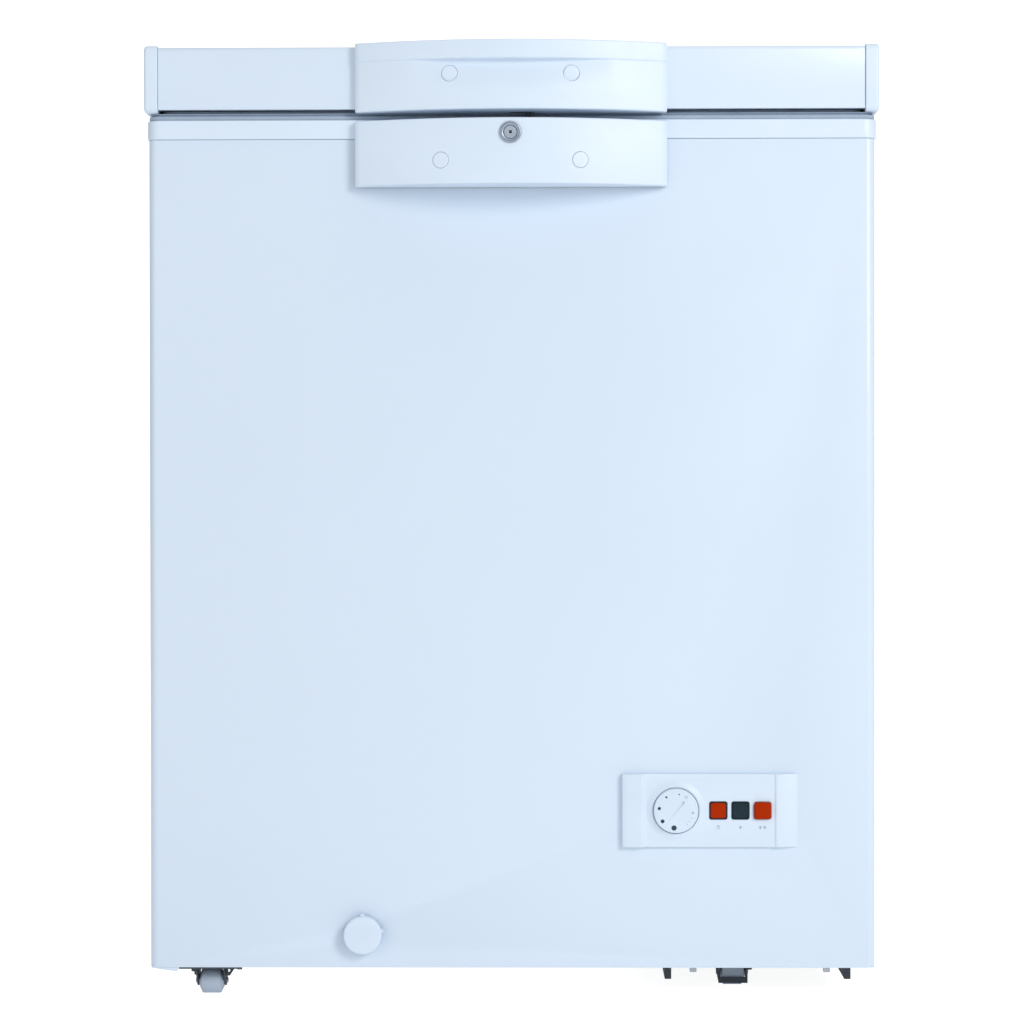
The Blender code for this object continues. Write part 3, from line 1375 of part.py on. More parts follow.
def caster_bracket(name, x, y, top, apron):
    """Fork folded from one strip: a plate and two cheeks, and on the tray's casters a low bar."""
    inner = WHEEL_WIDTH / 2 + EDGE_GAP
    outer = inner + FORK_SHEET
    half_plate = FORK_PLATE_WIDTH / 2
    tip = WHEEL_RADIUS - FORK_TIP
    under = top - FORK_SHEET * FORK_SINK
    section = [
        (x - half_plate, under),
        (x - outer, under),
        (x - outer, tip),
        (x - inner, tip),
        (x - inner, under),
        (x + inner, under),
        (x + inner, tip),
        (x + outer, tip),
        (x + outer, under),
        (x + half_plate, under),
        (x + half_plate, top),
        (x - half_plate, top),
    ]
    half = FORK_LENGTH / 2
    side_view = [
        (y - half, top + 0.001),
        (y - half, under - 0.004),
        *arc((y, WHEEL_RADIUS), FORK_TIP, 215, 325, 5),
        (y + half, under - 0.004),
        (y + half, top + 0.001),
    ]
    shape = prism(section, "Y", y - half - 0.001, y + half + 0.001)
    item = part(f"caster_bracket_{name}", shape, "dark_steel")
    trim = prism(side_view, "X", x - half_plate - 0.001, x + half_plate + 0.001)
    combine(item, f"fork_trim_{name}", trim, "INTERSECT")
    bore = rod((x, y, WHEEL_RADIUS), (1, 0, 0), AXLE_RADIUS + SHAFT_GAP, -0.05, 0.05, 12)
    combine(item, f"fork_bore_{name}", bore)
    if apron:
        front = y + apron * (WHEEL_RADIUS + 0.0095)
        rear = front - apron * APRON_THICK
        wide = [(x - outer - 0.004, top - 0.0005), (x - outer, APRON_CLEARANCE), (x + outer, APRON_CLEARANCE)]
        hollow = [(x + outer, top - 0.0005), (x + inner, top - 0.0005)]
        low = APRON_CLEARANCE + APRON_HEIGHT
        inside = [(x + inner, low), (x - inner, low), (x - inner, top - 0.0005)]
        span = sorted((front, rear))
        frame = prism(wide + hollow + inside, "Y", *span)
        combine(item, f"apron_{name}", frame, "UNION")
        link_y = sorted((front, y + apron * (half - 0.002)))
        link = box((x - outer - 0.003, x + outer), link_y, (under, top))
        combine(item, f"apron_link_{name}", link, "UNION")


def casters():
    for name, x, y, top, end in caster_places():
        caster_bracket(name, x, y, top, end if "right" in name else 0)
        half = WHEEL_WIDTH / 2 + EDGE_GAP + FORK_SHEET + 0.0015
        centre = (x, y, WHEEL_RADIUS)
        axle = rod(centre, (1, 0, 0), AXLE_RADIUS, -half, half, 12)
        part(f"caster_axle_{name}", axle, "chrome", smooth=True)
        half = WHEEL_WIDTH / 2
        bore = AXLE_RADIUS + SHAFT_GAP
        edge = WHEEL_RADIUS - WHEEL_CHAMFER
        profile = [
            (bore, -half),
            (edge, -half),
            (WHEEL_RADIUS, -half + WHEEL_CHAMFER),
            (WHEEL_RADIUS, half - WHEEL_CHAMFER),
            (edge, half),
            (bore, half),
        ]
        wheel = lathe(profile, centre, (1, 0, 0), 24, bored=True)
        part(f"wheel_{name}", wheel, "grey_plastic", centre, smooth=True)


def build_cabinet():
    outer_wrapper()
    back_panel()
    bottom_panel()
    foam_insulation()
    inner_liner()
    top_frame()
    coils()


def build_bay():
    compressor()
    compressor_tray()
    filter_drier()
    pipes()
    rear_grille()
    cable_gland()


def build_drain():
    drain_socket()
    drain_tube()
    drain_cap()
    drain_plug()


def build_panel():
    control_panel()
    thermostat()
    thermostat_dial()
    lamps()
    fast_freeze_button()
    switch_body()


def build_lock():
    lock_housing()
    lock_barrel()
    lock_cylinder()
    lock_cam()


def build_lid():
    lid = pivot("lid_pivot", (0.0, HINGE_Y, HINGE_Z))
    lid_outer_panel(lid)
    lid_foam(lid)
    lid_inner_liner(lid)
    lid_gasket(lid)
    lid_end_caps(lid)
    lid_handle(lid)
    lock_keeper(lid)
    hinge_arms(lid)


clear_scene()
build_cabinet()
build_bay()
build_drain()
build_panel()
build_lock()
hinge_bases()
hinge_pins()
build_lid()
casters()
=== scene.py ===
"""Looks of the chest freezer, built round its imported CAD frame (metres, front facing -Y)."""

import math

import bmesh
import bpy
from mathutils import Matrix, Vector

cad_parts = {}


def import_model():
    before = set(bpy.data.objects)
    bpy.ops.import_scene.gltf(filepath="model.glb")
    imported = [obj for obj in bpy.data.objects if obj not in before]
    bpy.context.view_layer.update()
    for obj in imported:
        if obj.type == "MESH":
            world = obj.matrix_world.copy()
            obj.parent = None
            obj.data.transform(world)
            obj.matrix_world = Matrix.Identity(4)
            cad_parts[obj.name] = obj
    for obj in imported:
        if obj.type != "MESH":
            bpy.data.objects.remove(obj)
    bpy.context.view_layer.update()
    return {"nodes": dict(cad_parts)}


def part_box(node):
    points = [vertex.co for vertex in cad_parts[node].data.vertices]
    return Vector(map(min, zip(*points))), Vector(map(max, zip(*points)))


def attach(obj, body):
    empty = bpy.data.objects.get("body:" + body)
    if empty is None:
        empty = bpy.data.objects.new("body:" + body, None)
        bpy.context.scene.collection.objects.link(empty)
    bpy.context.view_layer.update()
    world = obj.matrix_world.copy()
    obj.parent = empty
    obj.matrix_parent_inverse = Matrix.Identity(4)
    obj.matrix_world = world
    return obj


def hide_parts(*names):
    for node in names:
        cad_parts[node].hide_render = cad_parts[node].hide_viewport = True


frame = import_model()


def middle(corners, axis):
    """Middle of a box along an axis."""
    return (getattr(corners[0], axis) + getattr(corners[1], axis)) / 2


# Places, read from the frame
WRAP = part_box("outer_wrapper")
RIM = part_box("top_frame")
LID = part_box("lid_outer_panel")
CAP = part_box("lid_end_cap_right")
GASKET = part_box("lid_gasket")
LID_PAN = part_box("lid_inner_liner")
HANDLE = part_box("lid_handle")
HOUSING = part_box("lock_housing")
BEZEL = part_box("lock_barrel")
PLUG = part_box("lock_cylinder")
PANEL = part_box("control_panel")
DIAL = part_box("thermostat_dial")
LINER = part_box("inner_liner")
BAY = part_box("rear_grille")
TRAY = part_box("compressor_tray")
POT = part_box("compressor")
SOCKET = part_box("drain_socket")
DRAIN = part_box("drain_tube")
DRAIN_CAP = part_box("drain_cap")
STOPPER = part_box("drain_plug")
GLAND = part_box("cable_gland")
LAMPS = [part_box(name) for name in ("power_lamp_lens", "run_lamp_lens", "fast_freeze_button")]

GAP = 0.0003  # between neighbours that touch
SIDE = WRAP[1].x
FRONT = WRAP[0].y
BACK = WRAP[1].y
CENTRE_Y = (FRONT + BACK) / 2
LID_FRONT = LID[0].y
LID_BACK = LID[1].y
PANEL_Z = middle(PANEL, "z")
DIAL_X = middle(DIAL, "x")
DIAL_RADIUS = (DIAL[1].x - DIAL[0].x) / 2
DRAIN_X = middle(SOCKET, "x")
DRAIN_Z = middle(SOCKET, "z")
CORNERS = ("front_left", "rear_left", "front_right", "rear_right")
SIDES = ("left", "right")
SQUARE = ((-1, -1), (1, -1), (1, 1), (-1, 1))  # signs of a section's corners, in order

# Sizes of details that the frame keeps plain
SHEET = 0.0008
WRAP_RADIUS = 0.008
LID_RADIUS = 0.004
LID_HEM = 0.010
RIM_WALL = 0.0024
RIM_SKIRT = 0.018
RIM_EDGE = 0.0014
LINER_RADIUS = 0.022
LINER_FILLET = 0.012
LINER_FLANGE = 0.018
LINER_SHEET = 0.001
LINER_HALF = (LINER[1].x - LINER_FLANGE, LINER[1].y - CENTRE_Y - LINER_FLANGE)
RIM_INNER = (LINER_HALF[0] - GAP, LINER_HALF[1] - GAP)
THROAT = (RIM_INNER[0] - RIM_WALL, RIM_INNER[1] - RIM_WALL)
WALL = 0.055  # of sheet, foam and liner together
BOW_END = 0.008  # depth of both bowed mouldings at their ends
BOW_EDGE = 0.0016
BOW_WALL = 0.0028
BOW_STATIONS = 72
LIP_HEIGHT = 0.0165
LIP_STEP = 0.0013
SCOOP_DEPTH = 0.0075
SCOOP_HALF = 0.088
SCOOP_HEIGHT = 0.029
SCOOP_ROWS = 14
BOW_HALF = HANDLE[1].x
HANDLE_BOW = LID_FRONT - HANDLE[0].y - BOW_END
HOUSING_BOW = LID_FRONT - HOUSING[0].y - BOW_END
PANEL_LEFT_WING = 0.0190
PANEL_RIGHT_WING = 0.0200
FIELD_Y = FRONT - GAP - 0.0034  # face of the panel's sunken field
STEM_HALF = 0.0040
CAP_RADIUS = 0.0070
CAP_HOLE = 0.0073
INK = 0.00008  # half the depth of a printed mark
SMOOTH_ANGLE = math.radians(32)

# Lights
KEY_POWER = 62.0
FILL_POWER = 13.0
TOP_POWER = 12.0
AMBIENT = 0.46
FLOOR_GLOW = 0.92  # as the camera sees it
FLOOR_BOUNCE = 0.21  # as the object is lit by it


# Mesh work


def arc(centre, radius, start, stop, steps):
    """Points on an arc; angles in degrees."""
    angles = [math.radians(start + (stop - start) * i / steps) for i in range(steps + 1)]
    return [(centre[0] + radius * math.cos(a), centre[1] + radius * math.sin(a)) for a in angles]


def rounded(half_u, half_v, radius, centre=(0.0, 0.0), steps=8):
    """Rounded rectangle, counter-clockwise."""
    points = []
    for sign_u, sign_v, start in ((1, 1, 0), (-1, 1, 90), (-1, -1, 180), (1, -1, 270)):
        middle = (centre[0] + sign_u * (half_u - radius), centre[1] + sign_v * (half_v - radius))
        points += arc(middle, radius, start, start + 90, steps)
    return points


def rect(u, v):
    return [(u[0], v[0]), (u[1], v[0]), (u[1], v[1]), (u[0], v[1])]


def place(u, v, w, axis):
    """A point from its two coordinates in a section and its place along the axis."""
    return {"X": (w, u, v), "Y": (u, w, v), "Z": (u, v, w)}[axis]


def loft(loops, closed=False):
    """Vertices and faces that skin loops of equal length; the ends are capped, or joined when closed."""
    count, rows = len(loops[0]), len(loops)
    vertices = [tuple(point) for loop in loops for point in loop]
    faces = []
    for row in range(rows if closed else rows - 1):
        first = row * count
        second = ((row + 1) % rows) * count
        for i in range(count):
            j = (i + 1) % count
            faces.append((first + i, first + j, second + j, second + i))
    if not closed:
        faces.append(tuple(range(count))[::-1])
        faces.append(tuple(range((rows - 1) * count, rows * count)))
    return vertices, faces


def prism(outline, axis, start, stop):
    return loft([[place(u, v, w, axis) for u, v in outline] for w in (start, stop)])


def box(x, y, z):
    return prism(rect(x, y), "Z", *z)


def plates(sections, steps=8):
    """Rounded rectangles round the cabinet's vertical middle: (half_x, half_y, radius, z)."""
    loops = []
    for half_x, half_y, radius, z in sections:
        outline = rounded(half_x, half_y, radius, (0.0, CENTRE_Y), steps)
        loops.append([(x, y, z) for x, y in outline])
    return loops


def turned(profile, centre, direction, segments=48, bored=False):
    """Turn (radius, height) pairs round the direction; a bored profile is a closed loop."""
    turn = Vector((0, 0, 1)).rotation_difference(Vector(direction))
    angles = [2 * math.pi * i / segments for i in range(segments)]

    def spot(radius, height, angle):
        local = Vector((radius * math.cos(angle), radius * math.sin(angle), height))
        return Vector(centre) + turn @ local

    if bored:
        return loft([[spot(r, h, a) for r, h in profile] for a in angles], closed=True)
    return loft([[spot(r, h, a) for a in angles] for r, h in profile])


def rod(centre, direction, radius, start, stop, segments=32):
    return turned([(radius, start), (radius, stop)], centre, direction, segments)


def soft_disc(radius, near, far, edge, steps=4):
    """Profile of a disc from height near to far, its far rim rounded."""
    step = math.copysign(edge, far - near)
    rim = [
        (radius - edge + edge * math.cos(a), far - step + step * math.sin(a))
        for a in (math.pi / 2 * i / steps for i in range(steps + 1))
    ]
    return [(radius, near), *rim, (radius * 0.3, far)]


def together(*meshes):
    """Several closed meshes as the vertices and faces of one object."""
    vertices = []
    faces = []
    for more_vertices, more_faces in meshes:
        start = len(vertices)
        vertices += more_vertices
        faces += [tuple(start + i for i in face) for face in more_faces]
    return vertices, faces


def new_object(name, mesh_data):
    mesh = bpy.data.meshes.new(name)
    mesh.from_pydata([tuple(v) for v in mesh_data[0]], [], mesh_data[1])
    mesh.update()
    item = bpy.data.objects.new(name, mesh)
    bpy.context.scene.collection.objects.link(item)
    outward(mesh)
    return item


def outward(mesh):
    """Make the faces of every closed part of a mesh point out."""
    work = bmesh.new()
    work.from_mesh(mesh)
    bmesh.ops.recalc_face_normals(work, faces=work.faces)
    work.to_mesh(mesh)
    work.free()


def settle(item):
    """Replace the object's mesh by its evaluated one."""
    graph = bpy.context.evaluated_depsgraph_get()
    mesh = bpy.data.meshes.new_from_object(item.evaluated_get(graph))
    item.modifiers.clear()
    item.data = mesh


def combine(item, *shapes, operation="DIFFERENCE"):
    """Cut shapes out of an object, or join them to it."""
    tools = []
    for index, shape in enumerate(shapes):
        tool = new_object(f"{item.name}_tool_{index}", shape)
        modifier = item.modifiers.new("Boolean", "BOOLEAN")
        modifier.object = tool
        modifier.operation = operation
        modifier.solver = "EXACT"
        tools.append(tool)
    settle(item)
    for tool in tools:
        bpy.data.objects.remove(tool, do_unlink=True)


def soften(item, width, segments=3, angle=40.0):
    """Round the sharp edges."""
    modifier = item.modifiers.new("Edges", "BEVEL")
    modifier.width = width
    modifier.segments = segments
    modifier.limit_method = "ANGLE"
    modifier.angle_limit = math.radians(angle)
    modifier.harden_normals = False
    modifier.use_clamp_overlap = True


def smooth(item):
    item.data.shade_smooth()
    item.data.set_sharp_from_angle(angle=SMOOTH_ANGLE)


def finish_piece(item, style, body="cabinet", replaces=(), edge=0.0, segments=3):
    """Last steps of a piece: edges, shading, material, body and the CAD nodes it stands for."""
    if edge:
        soften(item, edge, segments)
        settle(item)
    smooth(item)
    item.data.materials.clear()
    item.data.materials.append(MATERIALS[style])
    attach(item, body)
    if replaces:
        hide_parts(*replaces)


def piece(name, mesh_data, style, body="cabinet", replaces=(), edge=0.0, segments=3):
    finish_piece(new_object(name, mesh_data), style, body, replaces, edge, segments)


def dress(node, style, edge=0.0, segments=2):
    """Give a CAD node its material and, where wanted, rounded edges."""
    item = frame["nodes"][node]
    item.data.materials.clear()
    item.data.materials.append(MATERIALS[style])
    if edge:
        weld = item.modifiers.new("Weld", "WELD")
        weld.merge_threshold = 0.00001
        soften(item, edge, segments)


# Materials


def links_of(material):
    tree = material.node_tree
    return tree.nodes, tree.links


def coordinates(material, stretch=(1.0, 1.0, 1.0)):
    """Object coordinates in metres, stretched along the axes."""
    nodes, links = links_of(material)
    source = nodes.new("ShaderNodeTexCoord")
    mapping = nodes.new("ShaderNodeMapping")
    mapping.inputs["Scale"].default_value = stretch
    links.new(source.outputs["Object"], mapping.inputs["Vector"])
    return mapping.outputs["Vector"]


def noise(material, scale, detail=4.0, roughness=0.5, stretch=(1.0, 1.0, 1.0)):
    nodes, links = links_of(material)
    texture = nodes.new("ShaderNodeTexNoise")
    texture.inputs["Scale"].default_value = scale
    texture.inputs["Detail"].default_value = detail
    texture.inputs["Roughness"].default_value = roughness
    links.new(coordinates(material, stretch), texture.inputs["Vector"])
    return texture.outputs["Fac"]


def cells(material, scale, feature="F1", output="Distance", stretch=(1.0, 1.0, 1.0)):
    nodes, links = links_of(material)
    texture = nodes.new("ShaderNodeTexVoronoi")
    texture.feature = feature
    texture.inputs["Scale"].default_value = scale
    links.new(coordinates(material, stretch), texture.inputs["Vector"])
    return texture.outputs[output]


def spread(material, value, low, high, from_low=0.3, from_high=0.7):
    """Map a texture's value to a range."""
    nodes, links = links_of(material)
    ranger = nodes.new("ShaderNodeMapRange")
    ranger.inputs["From Min"].default_value = from_low
    ranger.inputs["From Max"].default_value = from_high
    ranger.inputs["To Min"].default_value = low
    ranger.inputs["To Max"].default_value = high
    links.new(value, ranger.inputs["Value"])
    return ranger.outputs["Result"]


def blend_colours(material, factor, first, second):
    """Mix two colours, or a colour with another socket, by a factor."""
    nodes, links = links_of(material)
    mixer = nodes.new("ShaderNodeMix")
    mixer.data_type = "RGBA"
    links.new(factor, mixer.inputs["Factor"])
    for socket, colour in ((mixer.inputs[6], first), (mixer.inputs[7], second)):
        if isinstance(colour, bpy.types.NodeSocket):
            links.new(colour, socket)
        else:
            socket.default_value = (*colour, 1.0)
    return mixer.outputs[2]


def bump(material, height, distance, before=None):
    nodes, links = links_of(material)
    node = nodes.new("ShaderNodeBump")
    node.inputs["Strength"].default_value = 1.0
    node.inputs["Distance"].default_value = distance
    links.new(height, node.inputs["Height"])
    if before is not None:
        links.new(before, node.inputs["Normal"])
    return node.outputs["Normal"]


def new_material(name, metallic=0.0, coat=0.0, specular=0.5):
    material = bpy.data.materials.new(name)
    material.use_nodes = True
    shader = material.node_tree.nodes["Principled BSDF"]
    shader.inputs["Metallic"].default_value = metallic
    shader.inputs["Coat Weight"].default_value = coat
    shader.inputs["Coat Roughness"].default_value = 0.12
    shader.inputs["Specular IOR Level"].default_value = specular
    return material, shader


def connect(material, shader, colour, roughness, normal):
    links = material.node_tree.links
    links.new(colour, shader.inputs["Base Color"])
    links.new(roughness, shader.inputs["Roughness"])
    links.new(normal, shader.inputs["Normal"])


def shade(colour, share):
    return tuple(min(1.0, channel * share) for channel in colour)


def mottle(material, value, colour, low, high, *span):
    """The colour times low where the value is low, and times high where it is high."""
    factor = spread(material, value, 0.0, 1.0, *span)
    return blend_colours(material, factor, shade(colour, low), shade(colour, high))


def enamel(name, colour, gloss, peel, coat=0.0):
    """Sprayed paint: orange peel, faint cloudiness and rubbed patches."""
    material, shader = new_material(name, coat=coat)
    tone = mottle(material, noise(material, 2.2, 3.0), colour, 0.985, 1.012)
    speck = spread(material, noise(material, 900.0, 2.0), 0.0, 1.0, 0.70, 0.80)
    tone = blend_colours(material, speck, tone, shade(colour, 0.93))
    rubbed = spread(material, noise(material, 14.0, 5.0, 0.6), gloss - 0.05, gloss + 0.06)
    waves = bump(material, noise(material, 420.0, 2.0, 0.4), peel)
    waves = bump(material, noise(material, 26.0, 2.0, 0.4), peel * 6.0, waves)
    connect(material, shader, tone, rubbed, waves)
    return material


def moulded(name, colour, gloss, grain, scale=1500.0, specular=0.5):
    """Injection-moulded plastic: fine spark-eroded grain and soft flow marks."""
    material, shader = new_material(name, specular=specular)
    flow = noise(material, 9.0, 3.0, 0.5, (1.0, 1.0, 3.0))
    tone = mottle(material, flow, colour, 0.982, 1.015)
    handled = spread(material, noise(material, 30.0, 4.0, 0.6), gloss - 0.05, gloss + 0.05)
    skin = bump(material, cells(material, scale, "SMOOTH_F1"), grain)
    skin = bump(material, noise(material, scale * 0.6, 3.0), grain, skin)
    connect(material, shader, tone, handled, skin)
    return material


def galvanised(name, colour):
    """Zinc spangle: flat crystals that differ in tone and gloss."""
    material, shader = new_material(name, metallic=0.85)
    crystal = cells(material, 120.0, "F1", "Color")
    tone = mottle(material, crystal, colour, 0.80, 1.22, 0.1, 0.9)
    dull = spread(material, noise(material, 18.0, 4.0), 0.0, 0.35)
    tone = blend_colours(material, dull, tone, (0.62, 0.64, 0.66))
    gloss = spread(material, crystal, 0.36, 0.58, 0.1, 0.9)
    skin = bump(material, noise(material, 240.0, 3.0), 0.00003)
    connect(material, shader, tone, gloss, skin)
    return material


def embossed(name, colour):
    """Stucco-embossed aluminium: a random net of shallow dents."""
    material, shader = new_material(name, metallic=0.55)
    tone = mottle(material, noise(material, 7.0, 4.0, 0.6), colour, 0.93, 1.05)
    gloss = spread(material, noise(material, 60.0, 3.0), 0.34, 0.48)
    skin = bump(material, cells(material, 190.0, "SMOOTH_F1"), 0.0009)
    skin = bump(material, noise(material, 1200.0, 2.0), 0.00002, skin)
    connect(material, shader, tone, gloss, skin)
    return material


def foamed(name, colour):
    """Rigid foam: closed cells under a cut skin, browner where it has aged."""
    material, shader = new_material(name, specular=0.2)
    aged = noise(material, 11.0, 4.0)
    tone = mottle(material, aged, colour, 0.88, 1.06)
    pore = spread(material, cells(material, 700.0), 0.0, 1.0, 0.0, 0.5)
    tone = blend_colours(material, pore, shade(colour, 0.72), tone)
    gloss = spread(material, aged, 0.85, 0.97)
    skin = bump(material, cells(material, 700.0), 0.0004)
    connect(material, shader, tone, gloss, skin)
    return material


def drawn_metal(name, colour, gloss, stain, along=(1.0, 1.0, 1.0), metallic=1.0):
    """Drawn, turned or plated metal: fine lines one way and dull stains."""
    material, shader = new_material(name, metallic=metallic)
    patch = noise(material, 34.0, 5.0, 0.6)
    tone = blend_colours(material, spread(material, patch, 0.0, 1.0, 0.35, 0.75), colour, stain)
    lines = noise(material, 900.0, 2.0, 0.5, along)
    polish = spread(material, lines, gloss - 0.06, gloss + 0.08)
    skin = bump(material, lines, 0.00001)
    connect(material, shader, tone, polish, skin)
    return material


def rubbery(name, colour, gloss, dust):
    """Soft seal or foot: powdery skin with fine pores."""
    material, shader = new_material(name, specular=0.3)
    powder = spread(material, noise(material, 45.0, 5.0, 0.65), 0.0, 0.55, 0.45, 0.8)
    tone = blend_colours(material, powder, colour, dust)
    dull = spread(material, noise(material, 120.0, 3.0), gloss - 0.08, gloss + 0.06)
    skin = bump(material, noise(material, 1600.0, 3.0), 0.00006)
    connect(material, shader, tone, dull, skin)
    return material


def lens(name, colour, glow):
    """Tinted lens over a grid of fine prisms, lighter where the light inside catches it."""
    material, shader = new_material(name, specular=0.04)
    inner = cells(material, 1500.0, "F1", "Distance", (1.0, 0.0, 1.0))
    tone = mottle(material, inner, colour, 0.96, 1.06, 0.1, 0.6)
    cloud = spread(material, noise(material, 160.0, 3.0), 0.0, 1.0)
    tone = blend_colours(material, cloud, tone, glow)
    gloss = spread(material, noise(material, 240.0, 3.0), 0.20, 0.32)
    skin = bump(material, inner, 0.00001)
    connect(material, shader, tone, gloss, skin)
    return material


def printed(name, colour):
    """Pad-printed ink: matt, slightly uneven."""
    material, shader = new_material(name, specular=0.3)
    patchy = noise(material, 600.0, 3.0)
    tone = mottle(material, patchy, colour, 0.85, 1.15)
    connect(material, shader, tone, spread(material, patchy, 0.5, 0.7), bump(material, patchy, 0.00001))
    return material


def make_materials():
    turned_lines = (1.0, 1.0, 0.2)
    recipes = {
        "white_paint": (enamel, (0.692, 0.796, 0.920), 0.34, 0.000012, 0.15),
        "white_plastic": (moulded, (0.700, 0.804, 0.926), 0.42, 0.000008),
        "liner_plastic": (moulded, (0.74, 0.82, 0.90), 0.38, 0.00003, 700.0),
        "galvanised": (galvanised, (0.52, 0.55, 0.58)),
        "dark_steel": (enamel, (0.045, 0.062, 0.080), 0.48, 0.00002),
        "aluminium": (embossed, (0.88, 0.90, 0.92)),
        "plain_aluminium": (drawn_metal, (0.78, 0.80, 0.82), 0.34, (0.60, 0.62, 0.64)),
        "foam": (foamed, (0.86, 0.80, 0.62)),
        "copper": (drawn_metal, (0.74, 0.38, 0.24), 0.30, (0.42, 0.20, 0.13)),
        "black_enamel": (enamel, (0.016, 0.017, 0.019), 0.30, 0.00003, 0.3),
        "chrome": (drawn_metal, (0.66, 0.73, 0.81), 0.42, (0.58, 0.64, 0.72), turned_lines, 0.60),
        "lock_metal": (drawn_metal, (0.50, 0.57, 0.66), 0.40, (0.42, 0.48, 0.56), turned_lines, 0.55),
        "lock_ring": (drawn_metal, (0.40, 0.46, 0.54), 0.40, (0.32, 0.37, 0.44), turned_lines, 0.55),
        "screw": (drawn_metal, (0.55, 0.60, 0.66), 0.32, (0.40, 0.43, 0.47)),
        "gasket_rubber": (rubbery, (0.37, 0.45, 0.56), 0.62, (0.46, 0.54, 0.63)),
        "grey_plastic": (moulded, (0.490, 0.575, 0.690), 0.52, 0.00004, 900.0, 0.35),
        "dark_plastic": (moulded, (0.022, 0.034, 0.048), 0.50, 0.00003, 900.0, 0.35),
        "orange_lens": (lens, (0.395, 0.024, 0.001), (0.420, 0.028, 0.002)),
        "dark_lens": (lens, (0.018, 0.033, 0.044), (0.022, 0.038, 0.050)),
        "black_rubber": (rubbery, (0.018, 0.018, 0.019), 0.78, (0.10, 0.10, 0.10)),
        "ink": (printed, (0.030, 0.050, 0.075)),
        "pale_ink": (printed, (0.33, 0.40, 0.50)),
    }
    return {name: make(name, *values) for name, (make, *values) in recipes.items()}


MATERIALS = make_materials()


# Cabinet


def wrap_path(inset):
    side = SIDE - inset
    front = FRONT + inset
    radius = WRAP_RADIUS - inset
    left = arc((-side + radius, front + radius), radius, 180, 270, 10)
    right = arc((side - radius, front + radius), radius, 270, 360, 10)
    return [(-side, BACK), *left, *right, (side, BACK)]


def wrapper():
    """Painted sheet round the left side, front and right side."""
    low, high = WRAP[0].z, WRAP[1].z
    loops = []
    for outer, inner in zip(wrap_path(0.0), wrap_path(SHEET)):
        loops.append([(*outer, low), (*outer, high), (*inner, high), (*inner, low)])
    item = new_object("wrapper_skin", loft(loops))
    window_x = (PANEL[0].x + 0.020, PANEL[1].x - 0.012)
    window = box(window_x, (FRONT - 0.01, FRONT + 0.01), (PANEL_Z - 0.010, PANEL_Z + 0.010))
    drain_hole = rod((DRAIN_X, FRONT, DRAIN_Z), (0, 1, 0), 0.0095, -0.01, 0.01, 48)
    combine(item, window, drain_hole)
    finish_piece(item, "white_paint", replaces=("outer_wrapper",), edge=0.0003, segments=2)


def front_flanges():
    """Edges folded under the front: a tab at the left corner, and ledges below the bay and the foam."""
    low = WRAP[0].z
    inside = FRONT + SHEET
    tab = [
        (-SIDE + 0.0012, low + 0.0010),
        (-SIDE + 0.0012, low - 0.0006),
        (-SIDE + 0.0080, low - 0.0018),
        (-SIDE + 0.0230, low - 0.0036),
        (-SIDE + 0.0250, low - 0.0030),
        (-SIDE + 0.0250, low + 0.0010),
    ]
    piece("corner_flange", prism(tab, "Y", inside, inside + 0.0016), "white_paint", edge=0.0004, segments=2)
    ledge = box((BAY[0].x, SIDE - 0.002), (inside, FRONT + 0.022), (low, low + 0.0010))
    piece("bay_front_flange", ledge, "white_paint", edge=0.0002, segments=1)
    start, past_tab, end = -SIDE + 0.0100, -SIDE + 0.0252, BAY[0].x - 0.0005
    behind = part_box("bottom_panel")[0].y - GAP
    outline = [
        (start, inside + 0.0018),
        (past_tab, inside + 0.0018),
        (past_tab, inside),
        (end, inside),
        (end, behind),
        (start, behind),
    ]
    ledge = prism(outline, "Z", low + 0.0002, low + 0.0010)
    piece("bottom_front_flange", ledge, "white_paint", edge=0.0002, segments=1)


def rim():
    """Plastic frame that caps the walls, its upper edges rounded over."""
    outer = (RIM[1].x, RIM[1].y - CENTRE_Y)
    hem = (outer[0] - RIM_WALL, outer[1] - RIM_WALL)
    low, top = WRAP[1].z + GAP, RIM[1].z
    skirt = low - RIM_SKIRT
    sections = [(outer[0] - 0.0006, outer[1] - 0.0006, 0.0115, low), (*outer, 0.012, low + 0.0008)]
    edges = ((outer, -RIM_EDGE, 0.012, 0), (THROAT, RIM_EDGE, LINER_RADIUS, 90))
    for half, shift, radius, start in edges:
        for u, v in arc((0.0, 0.0), RIM_EDGE, start, start + 90, 5):
            sections.append((half[0] + shift + u, half[1] + shift + u, radius, top - RIM_EDGE + v))
    sections += [
        (*THROAT, LINER_RADIUS - RIM_WALL, skirt),
        (*RIM_INNER, LINER_RADIUS, skirt),
        (*RIM_INNER, LINER_RADIUS, top - RIM_WALL),
        (*hem, 0.010, top - RIM_WALL),
        (*hem, 0.010, low),
    ]
    piece("rim_moulding", loft(plates(sections, 10), closed=True), "white_plastic", replaces=("top_frame",))


def hollow(x, y, floor, top, radius, fillet, steps=10):
    """Rounded box open at the top, with a fillet round its floor."""
    centre = ((x[0] + x[1]) / 2, (y[0] + y[1]) / 2)
    half = ((x[1] - x[0]) / 2, (y[1] - y[0]) / 2)
    loops = []
    for u, v in arc((0.0, 0.0), fillet, 270, 360, 6):
        inset = fillet - u
        outline = rounded(half[0] - inset, half[1] - inset, max(radius - inset, 0.002), centre, steps)
        loops.append([(a, b, floor + fillet + v) for a, b in outline])
    loops.append([(a, b, top) for a, b in rounded(*half, radius, centre, steps)])
    return loft(loops)


